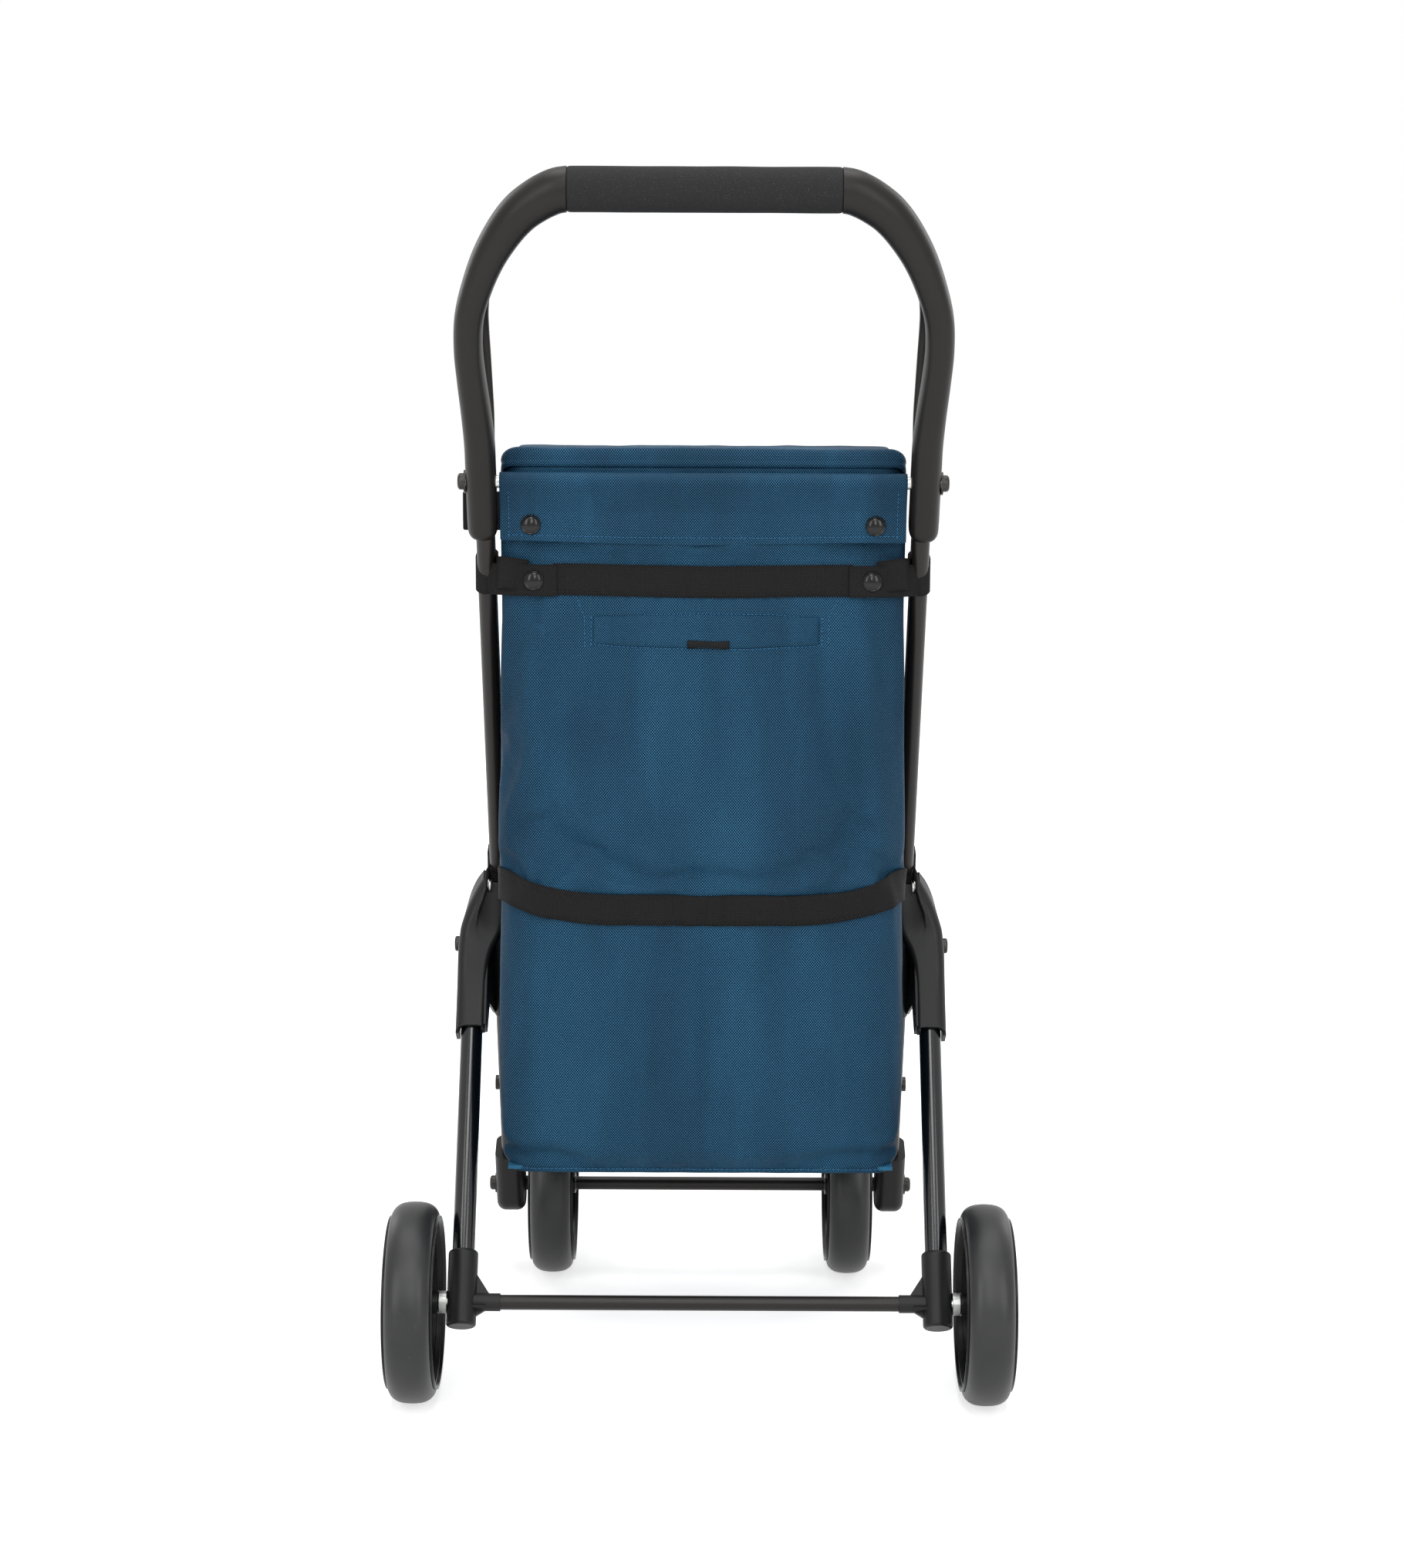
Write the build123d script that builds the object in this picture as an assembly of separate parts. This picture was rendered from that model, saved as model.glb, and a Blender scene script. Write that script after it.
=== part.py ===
from build123d import *
import os
from math import atan2, cos, degrees, radians, sin

# A four-wheel shopping trolley, in millimetres.
# Frame: origin on the floor midway between the two axles, +X to the user's right,
# +Y forward (the user walks behind, on the -Y side), +Z up.

# ---------------------------------------------------------------- driving sizes
# wheels
WHEEL_R = 80.0
TYRE_W = 40.0
TYRE_SEAT_R = 67.0
TYRE_SHOULDER = 11.0
TYRE_CROWN = 4.0
RIM_WALL = 3.5
RIM_LIP = 2.0
WEB_T = 6.0
HUB_R = 9.5
SPOKES = 6
SPOKE_W = 13.0
BUSH_R = 6.5
BUSH_L = 12.0
AXLE_R = 4.0
HUB_CAP_R = 12.0
HUB_CAP_T = 3.0
HUB_CAP_ROUND = 1.8

# stance
WHEELBASE = 330.0

# main tubes: flat-oval, from the front axle up into the handle arms
MAIN_LEAN = 24.15
TUBE_FROM_BAG = 5.5
MAIN_TUBE_W = 14.0
MAIN_TUBE_D = 28.0
MAIN_WALL = 1.5
MAIN_TUBE_FOOT = -14.0
MAIN_TUBE_TOP = 746.0

# rear legs: round tubes hinged in the knee brackets
REAR_LEAN = 33.4
REAR_LEG_R = 9.0
REAR_WALL = 1.2
PIVOT_ALONG = 308.0
LEG_OVERRUN = 11.0
LEG_FOOT = 9.0

# knee brackets
KNEE_WALL = 2.5
KNEE_CHEEK = 3.4
KNEE_FOOT = 202.0
KNEE_TOP = 334.0
HOOD_FOOT = 234.0
KNUCKLE_WALL = 3.0
WEB_LEDGE = 32.24
# the hood's shoulder from behind: (cheeks in from its outer face, share of the way up to the crown)
SHOULDER_CURVE = [(0.3, 0.0), (1.5, 0.26), (5.22, 0.62)]
PIVOT_R = 3.0
PIVOT_HEAD_R = 6.5
PIVOT_HEAD_T = 3.5

# front brackets on the lower tube ends
FRONT_BRACKET_W = 26.0
FRONT_SPACER_L = 5.5
FRONT_BRACKET_WALL = 3.0
FRONT_BRACKET_TOP = 42.0
FRONT_BRACKET_DROP = 27.0
FRONT_BRACKET_ROUND = 8.0

# tubes and rods across the frame
CROSS_TUBE_R = 6.0
CROSS_WALL = 1.0
COLLAR_R = 7.2
COLLAR_L = 31.0
UPPER_ROD_R = 5.0
UPPER_ROD_ALONG = 717.5
REST_BAR_ALONG = 117.0
REST_BAR_R = 6.0
NUT_R = 6.5
NUT_H = 5.0
WASHER_R = 9.0
WASHER_T = 1.5

# rear sockets
SOCKET_R = 12.0
SOCKET_TOP = 42.0
SOCKET_FOOT = 20.0
SOCKET_TO_HUB = 6.0
SOCKET_SKIN = 2.0
SOCKET_ROUND = 2.5
GUSSET_T = 4.0
GUSSET_RISE = 25.0
GUSSET_REACH = 14.0
RIB_BACK = 10.0
RIB_T = 2.0

# handle
GRIP_R = 17.0
GRIP_ROUND = 2.125
GRIP_HALF = 102.5
CORE_R = 11.0
CORE_WALL = 1.5
CORE_SEAT = 12.0
GRIP_ALONG = 960.0
ARM_D = 33.0
ARM_FILLET = 8.5
ARM_END_ALONG = 672.0
ARM_TIP_ROUND = 16.59
SLEEVE_INWARD = 10.0
SLEEVE_OUTWARD = 13.7
ARM_SLEEVE_TOP = 752.0
BAR_INWARD = 3.5
BAR_OUTWARD = 18.5
ARM_SPRING = 830.0
ARCH_OUTLINE = [(0.887, 0.395), (0.600, 0.752), (0.280, 0.938)]
WINDOW_FOOT = 762.0
WINDOW_TOP = 846.0
WINDOW_D = 14.0
WINDOW_OFF = 10.5
BOW_D = 9.0
BOW_W = 15.0

# bag
BAG_HALF = 159.0
BAG_BACK_Y = -120.0
BAG_DEPTH = 250.0
BAG_BACK_FOOT = 174.0
BAG_TOP = 746.0
CLOTH = 2.5
BOARD_T = 3.0
LID_T = 4.0
LID_ROLL_D = 10.0
LID_ROLL_H = 14.5
LID_DROP = 95.0
FLAP_T = 1.8
FLAP_FOOT_Z = 689.0
SNAP_R = 7.75
SNAP_T = 2.4
FLAP_SNAP_EDGE = 24.0
FLAP_SNAP_Z = 702.0
WEBBING_T = 1.6
WEBBING_W = 25.0
TAB_NECK_W = 22.0
TAB_SLIP = 7.0
STRAP_Z = 657.0
STRAP_END = 41.0
STRAP_SNAP_EDGE = 26.0
LOWER_STRAP_Z = 392.5
LOWER_STRAP_LEVEL = 59.0
LOWER_STRAP_RISE = 18.0
KNEE_LOOP_ALONG = 347.0
POCKET_MARGIN = 63.0
POCKET_Z = 617.0
POCKET_H = 27.0
TAG_H = 31.0
TAG_W = 34.0
TAG_Z = 707.0
TAG_AHEAD = 66.0

# fits
SEAT_FIT = 0.1
RUN_FIT = 0.05
SWING_FIT = 0.4
SOFT_FIT = 0.3
LOOSE_FIT = 0.9

# ---------------------------------------------------------------- worked-out places
REAR_Y = -WHEELBASE / 2
FRONT_Y = WHEELBASE / 2
MAIN_TUBE_X = BAG_HALF + TUBE_FROM_BAG + MAIN_TUBE_W / 2
MAIN_OUT_X = MAIN_TUBE_X + MAIN_TUBE_W / 2
SLEEVE_OUT_X = MAIN_OUT_X + SEAT_FIT + KNEE_WALL
REAR_LEG_X = SLEEVE_OUT_X + LOOSE_FIT + REAR_LEG_R
CHEEK_IN_X = REAR_LEG_X + REAR_LEG_R + LOOSE_FIT
KNEE_OUT_X = CHEEK_IN_X + KNEE_CHEEK
BRACKET_IN_X = MAIN_TUBE_X - FRONT_BRACKET_W / 2
BRACKET_OUT_X = MAIN_TUBE_X + FRONT_BRACKET_W / 2
SOCKET_OUT_X = REAR_LEG_X + SOCKET_R
REAR_HUB_IN_X = SOCKET_OUT_X + SOCKET_TO_HUB
REAR_WHEEL_X = REAR_HUB_IN_X + TYRE_W / 2
FRONT_HUB_OUT_X = BRACKET_IN_X - FRONT_SPACER_L
FRONT_WHEEL_X = FRONT_HUB_OUT_X - TYRE_W / 2
FRONT_HUB_IN_X = FRONT_WHEEL_X - TYRE_W / 2
ARM_SLEEVE_IN = MAIN_TUBE_X - SLEEVE_INWARD
ARM_SLEEVE_OUT = MAIN_TUBE_X + SLEEVE_OUTWARD
ARM_BAR_IN = MAIN_TUBE_X - BAR_INWARD
ARM_BAR_OUT = MAIN_TUBE_X + BAR_OUTWARD
STRAP_HALF = BAG_HALF - STRAP_END
BAG_FRONT_Y = BAG_BACK_Y + BAG_DEPTH


def main_yz(along, rear=0.0):
    """A point beside a main tube: along it from the front axle, and behind its axis."""
    lean = radians(MAIN_LEAN)
    return (FRONT_Y - along * sin(lean) - rear * cos(lean),
            WHEEL_R + along * cos(lean) - rear * sin(lean))


def leg_yz(along, rear=0.0):
    """A point beside a rear leg: along it from the rear axle, and behind its axis."""
    lean = radians(REAR_LEAN)
    return (REAR_Y + along * sin(lean) - rear * cos(lean),
            WHEEL_R + along * cos(lean) + rear * sin(lean))


PIVOT_Y, PIVOT_Z = leg_yz(PIVOT_ALONG)
ROD_Y, ROD_Z = main_yz(UPPER_ROD_ALONG)
BAR_Y, BAR_Z = main_yz(REST_BAR_ALONG)
GRIP_Y, GRIP_Z = main_yz(GRIP_ALONG)
BAG_FRONT_FOOT = BAR_Z + REST_BAR_R + SOFT_FIT + (
    (BAG_FRONT_Y - BAR_Y) * (BAR_Z + REST_BAR_R - BAG_BACK_FOOT) / (BAR_Y - BAG_BACK_Y))
BAG_SLOPE = (BAG_FRONT_FOOT - BAG_BACK_FOOT) / BAG_DEPTH
FLAP_OFF = UPPER_ROD_R + SEAT_FIT + FLAP_T
FLAP_FOOT_Y = BAG_BACK_Y - SNAP_T - SOFT_FIT - FLAP_T
FLAP_SLANT = degrees(atan2(FLAP_FOOT_Y - ROD_Y + FLAP_OFF, ROD_Z - FLAP_FOOT_Z))


def on_main(x=0.0):
    """The frame of a main tube: local Z runs up the tube from the front axle."""
    return Pos(x, FRONT_Y, WHEEL_R) * Rot(X=MAIN_LEAN)


def on_leg(x=0.0):
    """The frame of a rear leg: local Z runs up the leg from the rear axle."""
    return Pos(x, REAR_Y, WHEEL_R) * Rot(X=-REAR_LEAN)


def oval(depth, width):
    """A flat-oval section, deep along Y and narrow along X."""
    return SlotOverall(depth, width, rotation=90)


def x_rod(radius, x0, x1, y, z):
    """A round bar along X."""
    bar = Cylinder(radius, x1 - x0, align=(Align.CENTER, Align.CENTER, Align.MIN))
    return Pos(x0, y, z) * Rot(Y=90) * bar


def x_plate(points, x0, x1):
    """A plate of the outline given in (Y, Z), thick along X."""
    face = Plane.YZ * Polygon(*points, align=None)
    return Pos(x0, 0, 0) * extrude(face, amount=x1 - x0, dir=(1, 0, 0))


def block(x0, x1, y0, y1, z0, z1):
    """A box between the given limits."""
    solid = Box(x1 - x0, y1 - y0, z1 - z0, align=(Align.MIN, Align.MIN, Align.MIN))
    return Pos(x0, y0, z0) * solid


def other_side(shape):
    """The same piece on the other side of the trolley."""
    return mirror(shape, about=Plane.YZ)


def both_sides(shape):
    """A right-hand piece and its left-hand twin, as two solids of one group."""
    return Compound(children=[shape, other_side(shape)])


# ---------------------------------------------------------------- wheels
def wheel_tyre():
    half = TYRE_W / 2 - RIM_LIP
    edge_r = WHEEL_R - TYRE_CROWN
    section = make_face([
        Line((edge_r, half), (TYRE_SEAT_R, half)),
        Line((TYRE_SEAT_R, half), (TYRE_SEAT_R, -half)),
        Line((TYRE_SEAT_R, -half), (edge_r, -half)),
        ThreePointArc((edge_r, -half), (WHEEL_R, 0), (edge_r, half)),
    ])
    section = fillet(section.vertices().group_by(Axis.X)[-1], TYRE_SHOULDER)
    return revolve(Plane.XZ * section, axis=Axis.Z)


def wheel_rim():
    half = TYRE_W / 2
    barrel_r = TYRE_SEAT_R - SEAT_FIT
    lip = Cylinder(TYRE_SEAT_R + RIM_LIP, TYRE_W)
    lip -= Cylinder(WHEEL_R, TYRE_W - 2 * RIM_LIP + 2 * SEAT_FIT)
    rim = Cylinder(barrel_r, TYRE_W) + lip
    rim -= Cylinder(barrel_r - RIM_WALL, TYRE_W)
    rim += Cylinder(HUB_R, TYRE_W)
    reach = barrel_r - RIM_WALL / 2
    for turn in range(SPOKES):
        spoke = Pos(reach / 2, 0, 0) * Box(reach, SPOKE_W, WEB_T)
        rim += Rot(Z=turn * 360 / SPOKES) * spoke
    rim -= Cylinder(AXLE_R + LOOSE_FIT, TYRE_W)
    for side in (-1, 1):
        rim -= Pos(0, 0, side * (half - BUSH_L / 2)) * Cylinder(BUSH_R + SEAT_FIT / 2, BUSH_L)
    return rim


def wheel_bushes():
    """Two plain bushes, one in each end of the hub."""
    bush = Cylinder(BUSH_R, BUSH_L) - Cylinder(AXLE_R + RUN_FIT, BUSH_L)
    seat = (TYRE_W - BUSH_L) / 2
    return Compound(children=[Pos(0, 0, seat) * bush, Pos(0, 0, -seat) * bush])


def wheel_hub_cap():
    """A snap-on cap over the outer hub face, at local +Z."""
    cap = Pos(0, 0, TYRE_W / 2 + HUB_CAP_T / 2) * Cylinder(HUB_CAP_R, HUB_CAP_T)
    return fillet(cap.edges().group_by(Axis.Z)[-1], HUB_CAP_ROUND)


def at_wheel(x, y):
    """The frame of a wheel: local +Z points away from the trolley's middle."""
    turn = 90 if x > 0 else -90
    return Pos(x, y, WHEEL_R) * Rot(Y=turn)


# ---------------------------------------------------------------- main frame
def main_tube():
    length = MAIN_TUBE_TOP - MAIN_TUBE_FOOT
    inner = oval(MAIN_TUBE_D - 2 * MAIN_WALL, MAIN_TUBE_W - 2 * MAIN_WALL)
    tube = Pos(0, 0, MAIN_TUBE_FOOT) * extrude(oval(MAIN_TUBE_D, MAIN_TUBE_W) - inner, amount=length)
    for along, radius in ((0.0, AXLE_R), (REST_BAR_ALONG, PIVOT_R), (UPPER_ROD_ALONG, UPPER_ROD_R)):
        tube -= x_rod(radius + SEAT_FIT, -MAIN_TUBE_W, MAIN_TUBE_W, 0, along)
    return on_main(MAIN_TUBE_X) * tube


def tube_pocket(foot, top):
    """The room that a main tube takes inside a bracket, in the tube's frame."""
    section = oval(MAIN_TUBE_D + 2 * SEAT_FIT, MAIN_TUBE_W + 2 * SEAT_FIT)
    return Pos(0, 0, foot) * extrude(section, amount=top - foot)


def front_bracket():
    depth = MAIN_TUBE_D + 2 * FRONT_BRACKET_WALL + 2 * SEAT_FIT
    toe = depth / 2 - FRONT_BRACKET_DROP
    half = FRONT_BRACKET_W / 2
    body = block(-half, half, -depth / 2, depth / 2, toe, FRONT_BRACKET_TOP)
    body += x_rod(depth / 2, -half, half, 0, toe)
    rims = body.edges().group_by(Axis.X)
    below_top = (rims[0] + rims[-1]).filter_by(lambda e: e.center().Z < FRONT_BRACKET_TOP - 1)
    body = fillet(below_top, FRONT_BRACKET_ROUND)
    body -= tube_pocket(MAIN_TUBE_FOOT - SEAT_FIT, FRONT_BRACKET_TOP + 1)
    body -= x_rod(AXLE_R + SEAT_FIT, -half - 1, half + 1, 0, 0)
    return on_main(MAIN_TUBE_X) * body


def knee_bracket():
    """Sleeve on the main tube, with a hood that the rear leg swings in, open forwards."""
    depth = MAIN_TUBE_D + 2 * (SEAT_FIT + KNEE_WALL)
    width = MAIN_TUBE_W + 2 * (SEAT_FIT + KNEE_WALL)
    sleeve = on_main(MAIN_TUBE_X) * Pos(0, 0, KNEE_FOOT) * extrude(
        oval(depth, width), amount=KNEE_TOP - KNEE_FOOT)
    stop = REAR_LEG_R + SWING_FIT
    wall = stop + KNUCKLE_WALL
    top_r = (LEG_OVERRUN ** 2 + REAR_LEG_R ** 2) ** 0.5 + LOOSE_FIT
    knuckle_r = top_r + KNUCKLE_WALL
    rear_face = depth / 2
    web = x_plate([leg_yz(HOOD_FOOT, wall), leg_yz(PIVOT_ALONG, wall),
                   main_yz(KNEE_TOP - KNEE_WALL, rear_face), main_yz(KNEE_TOP - KNEE_WALL),
                   main_yz(KNEE_FOOT), main_yz(KNEE_FOOT, rear_face),
                   leg_yz(HOOD_FOOT + 2 * wall, -WEB_LEDGE), leg_yz(HOOD_FOOT, -wall)],
                  MAIN_OUT_X + SEAT_FIT, SLEEVE_OUT_X)
    hood = x_plate([leg_yz(HOOD_FOOT, wall), leg_yz(PIVOT_ALONG, wall),
                    leg_yz(PIVOT_ALONG, -wall), leg_yz(HOOD_FOOT, -wall)], SLEEVE_OUT_X, KNEE_OUT_X)
    hood += x_rod(knuckle_r, SLEEVE_OUT_X, KNEE_OUT_X, PIVOT_Y, PIVOT_Z)
    hood += x_plate([leg_yz(PIVOT_ALONG, wall), main_yz(KNEE_TOP - KNEE_WALL, rear_face),
                     main_yz(KNEE_TOP - KNEE_WALL), (PIVOT_Y + knuckle_r, PIVOT_Z + REAR_LEG_R),
                     (PIVOT_Y, PIVOT_Z)], SLEEVE_OUT_X, KNEE_OUT_X)
    low_y, low_z = leg_yz(HOOD_FOOT - 2 * wall, stop)
    room = x_rod(top_r, SLEEVE_OUT_X, CHEEK_IN_X, PIVOT_Y, PIVOT_Z)
    room += x_plate([leg_yz(PIVOT_ALONG, stop), (low_y, low_z), (FRONT_Y, low_z),
                     (FRONT_Y, PIVOT_Z), (PIVOT_Y, PIVOT_Z)], SLEEVE_OUT_X, CHEEK_IN_X)
    hood -= room
    # seen from behind, the hood narrows in a curve to the sleeve above the pivot
    shoulder = PIVOT_Z + top_r
    crown = main_yz(KNEE_TOP)[1]
    curve = [(KNEE_OUT_X - cheeks * KNEE_CHEEK, shoulder + share * (crown - shoulder))
             for cheeks, share in SHOULDER_CURVE]
    side = [(MAIN_TUBE_X, HOOD_FOOT / 2), (KNEE_OUT_X, HOOD_FOOT / 2), (KNEE_OUT_X, PIVOT_Z), *curve,
            (SLEEVE_OUT_X, crown), (MAIN_TUBE_X, crown)]
    trim = extrude(Plane.XZ * Polygon(*side, align=None), amount=WHEELBASE, both=True)
    bracket = sleeve + web + (hood & trim)
    bracket -= on_main(MAIN_TUBE_X) * tube_pocket(KNEE_FOOT - 1, KNEE_TOP + 1)
    bracket -= x_rod(PIVOT_R + SEAT_FIT, MAIN_OUT_X - 1, KNEE_OUT_X + 1, PIVOT_Y, PIVOT_Z)
    return bracket


def pivot_bolt():
    """Shoulder bolt of a knee, with its head on the outer cheek."""
    shank = x_rod(PIVOT_R, MAIN_OUT_X + SEAT_FIT, KNEE_OUT_X, PIVOT_Y, PIVOT_Z)
    head = x_rod(PIVOT_HEAD_R, KNEE_OUT_X, KNEE_OUT_X + PIVOT_HEAD_T, PIVOT_Y, PIVOT_Z)
    head = fillet(head.edges().group_by(Axis.X)[-1], PIVOT_HEAD_T / 2)
    return shank + head


def cap_nut(seat_x, y, z):
    """A domed nut on the outer end of a rod, with the washer under it."""
    nut = x_rod(NUT_R, seat_x + WASHER_T, seat_x + WASHER_T + NUT_H, y, z)
    nut = fillet(nut.edges().group_by(Axis.X)[-1], NUT_H / 2)
    return nut + x_rod(WASHER_R, seat_x, seat_x + WASHER_T, y, z)


def hollow_bar(radius, wall, half, y, z):
    return x_rod(radius, -half, half, y, z) - x_rod(radius - wall, -half, half, y, z)


# ---------------------------------------------------------------- handle
def arch(spring_x, end_along):
    """The curve of an arm from its straight bar to the end of the grip."""
    across, rise = spring_x - GRIP_HALF, end_along - ARM_SPRING
    inner = [(GRIP_HALF + u * across, ARM_SPRING + v * rise) for u, v in ARCH_OUTLINE]
    points = [(spring_x, ARM_SPRING), *inner, (GRIP_HALF, end_along)]
    return Spline(*points, tangents=[(0, 1), (-1, 0)])


def handle_arm():
    half_w = (ARM_SLEEVE_OUT - ARM_SLEEVE_IN) / 2
    shoulder = ARM_END_ALONG + ARM_TIP_ROUND
    outer = arch(ARM_BAR_OUT, GRIP_ALONG + ARM_D / 2)
    inner = arch(ARM_BAR_IN, GRIP_ALONG - ARM_D / 2)
    top_out, top_in = (ARM_BAR_OUT, ARM_SPRING), (ARM_BAR_IN, ARM_SPRING)
    low_out, low_in = (ARM_SLEEVE_OUT, shoulder), (ARM_SLEEVE_IN, shoulder)
    step = (ARM_SLEEVE_IN, ARM_SLEEVE_TOP)
    tip = (ARM_SLEEVE_IN + half_w, ARM_END_ALONG)
    outline = [
        outer,
        Line((GRIP_HALF, GRIP_ALONG + ARM_D / 2), (GRIP_HALF, GRIP_ALONG - ARM_D / 2)),
        inner,
        Spline(step, top_in, tangents=[(0, 1), (0, 1)]),
        Line(step, low_in),
        Spline(low_in, tip, low_out, tangents=[(0, -1), (0, 1)]),
        Spline(low_out, top_out, tangents=[(0, 1), (0, 1)]),
    ]
    face = make_face(outline)
    arm = extrude(Plane.XZ * face, amount=ARM_D / 2, both=True)
    rims = arm.edges().group_by(Axis.Y)
    rounded = (rims[0] + rims[-1]).filter_by(lambda e: e.center().X > GRIP_HALF + 1)
    arm = fillet(rounded, ARM_FILLET)
    # the bow in front of the bar, on the sleeve's inner side
    front = WINDOW_OFF + WINDOW_D / 2 + BOW_D
    reach = front + ARM_FILLET
    bow = extrude(Plane.YZ * Polygon(
        (0, WINDOW_FOOT - reach), (front, WINDOW_FOOT), (front, WINDOW_TOP),
        (0, WINDOW_TOP + reach), align=None), amount=BOW_W)
    edges = bow.edges().filter_by(Axis.X, reverse=True).filter_by(lambda e: e.center().Y > front / 4)
    bow = Pos(ARM_SLEEVE_IN, 0, 0) * fillet(edges, BOW_D / 3)
    window = SlotOverall(WINDOW_TOP - WINDOW_FOOT, WINDOW_D, rotation=90)
    window = extrude(Plane.YZ * Pos(WINDOW_OFF, (WINDOW_FOOT + WINDOW_TOP) / 2) * window, amount=REAR_LEG_X)
    arm = arm + bow - Pos(GRIP_HALF, 0, 0) * window
    arm -= Pos(MAIN_TUBE_X, 0, 0) * tube_pocket(ARM_END_ALONG - 1, MAIN_TUBE_TOP + SEAT_FIT)
    arm -= x_rod(UPPER_ROD_R + SEAT_FIT, GRIP_HALF, REAR_LEG_X, 0, UPPER_ROD_ALONG)
    arm -= x_rod(WASHER_R + SOFT_FIT, ARM_SLEEVE_OUT, ARM_BAR_OUT, 0, UPPER_ROD_ALONG)
    arm -= x_rod(CORE_R + SEAT_FIT, 0, GRIP_HALF + CORE_SEAT, 0, GRIP_ALONG)
    return on_main() * arm


# ---------------------------------------------------------------- rear legs
def rear_leg():
    length = PIVOT_ALONG + LEG_OVERRUN - LEG_FOOT
    tube = Cylinder(REAR_LEG_R, length) - Cylinder(REAR_LEG_R - REAR_WALL, length)
    plug = Pos(0, 0, length / 2 - REAR_LEG_R) * Cylinder(REAR_LEG_R - REAR_WALL, 2 * REAR_LEG_R)
    tube = Pos(0, 0, LEG_FOOT + length / 2) * (tube + plug)
    leg = on_leg(REAR_LEG_X) * tube
    bore = x_rod(PIVOT_R + RUN_FIT, REAR_LEG_X - 2 * REAR_LEG_R, REAR_LEG_X + 2 * REAR_LEG_R, PIVOT_Y, PIVOT_Z)
    return leg - bore


def rear_socket():
    height = SOCKET_TOP + SOCKET_FOOT
    body = Pos(0, 0, (SOCKET_TOP - SOCKET_FOOT) / 2) * Cylinder(SOCKET_R, height)
    body = fillet(body.edges().filter_by(GeomType.CIRCLE), SOCKET_ROUND)
    body = on_leg(REAR_LEG_X) * body
    body += x_rod(COLLAR_R, REAR_LEG_X - COLLAR_L, REAR_LEG_X, REAR_Y, WHEEL_R)
    skin_x = -SOCKET_R + SOCKET_SKIN
    ribs = Polygon((skin_x, GUSSET_RISE), (skin_x - GUSSET_REACH, COLLAR_R / 2),
                   (skin_x - GUSSET_REACH, -COLLAR_R / 2), (skin_x, -GUSSET_RISE / 2), align=None)
    body += on_leg(REAR_LEG_X) * extrude(Plane.XZ * ribs, amount=GUSSET_T / 2, both=True)
    body += block(REAR_LEG_X - SOCKET_R - GUSSET_REACH / 2, REAR_LEG_X - SOCKET_R / 2,
                  REAR_Y - RIB_BACK, REAR_Y, WHEEL_R - RIB_T / 2, WHEEL_R + RIB_T / 2)
    body -= on_leg(REAR_LEG_X) * Pos(0, 0, LEG_FOOT - SEAT_FIT) * Cylinder(
        REAR_LEG_R + SEAT_FIT, height, align=(Align.CENTER, Align.CENTER, Align.MIN))
    body -= x_rod(AXLE_R + SEAT_FIT, 0, SOCKET_OUT_X + 1, REAR_Y, WHEEL_R)
    body -= x_rod(CROSS_TUBE_R + SEAT_FIT, 0, REAR_LEG_X - SOCKET_R, REAR_Y, WHEEL_R)
    return body


# ---------------------------------------------------------------- bag
def foot_z(y, lift=0.0):
    """Height of the bag's sloping underside at a given Y, plus a lift."""
    return BAG_BACK_FOOT + (y - BAG_BACK_Y) * BAG_SLOPE + lift


def sloping_sheet(half, y0, y1, lift, thick):
    """A flat sheet that follows the bag's underside."""
    return x_plate([(y0, foot_z(y0, lift)), (y1, foot_z(y1, lift)),
                    (y1, foot_z(y1, lift + thick)), (y0, foot_z(y0, lift + thick))], -half, half)


def upright_panel(half, y0, y1):
    """A wall of the bag across X, standing on the bottom panel."""
    return x_plate([(y0, foot_z(y0, CLOTH)), (y1, foot_z(y1, CLOTH)), (y1, BAG_TOP), (y0, BAG_TOP)],
                   -half, half)


def side_panel():
    y0, y1 = BAG_BACK_Y + CLOTH, BAG_FRONT_Y - CLOTH
    return x_plate([(y0, foot_z(y0, CLOTH)), (y1, foot_z(y1, CLOTH)), (y1, BAG_TOP), (y0, BAG_TOP)],
                   BAG_HALF - CLOTH, BAG_HALF)


def rod_loop():
    """The cloth that lies over the cross rod, from the back panel to the flap."""
    reach = FLAP_OFF
    ring = x_rod(reach, -BAG_HALF, BAG_HALF, ROD_Y, ROD_Z)
    ring -= x_rod(reach - FLAP_T, -BAG_HALF, BAG_HALF, ROD_Y, ROD_Z)
    ring &= on_flap() * block(-BAG_HALF, BAG_HALF, -reach, reach, 0, reach)
    ring &= block(-BAG_HALF, BAG_HALF, ROD_Y - reach, ROD_Y, 0, ROD_Z + reach)
    link = block(-BAG_HALF, BAG_HALF, ROD_Y, BAG_BACK_Y, ROD_Z + reach - FLAP_T, ROD_Z + reach)
    return ring + link


def on_flap():
    """The frame of the flap: local -Z runs down it, from the rod's axis."""
    return Pos(0, ROD_Y, ROD_Z) * Rot(X=FLAP_SLANT)


def rod_flap():
    """The hanging part of the flap, hinged where it leaves the rod."""
    drop = ROD_Z - FLAP_FOOT_Z
    return on_flap() * block(-BAG_HALF, BAG_HALF, -FLAP_OFF, FLAP_T - FLAP_OFF, -drop, -SOFT_FIT)


def snap_cap(x, z):
    """A round press stud at a height on a face that looks backwards, in that face's frame."""
    cap = Cylinder(SNAP_R, SNAP_T, align=(Align.CENTER, Align.CENTER, Align.MIN))
    cap = fillet(cap.edges().group_by(Axis.Z)[-1], SNAP_T / 3)
    return Pos(x, 0, z) * Rot(X=90) * cap


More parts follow.
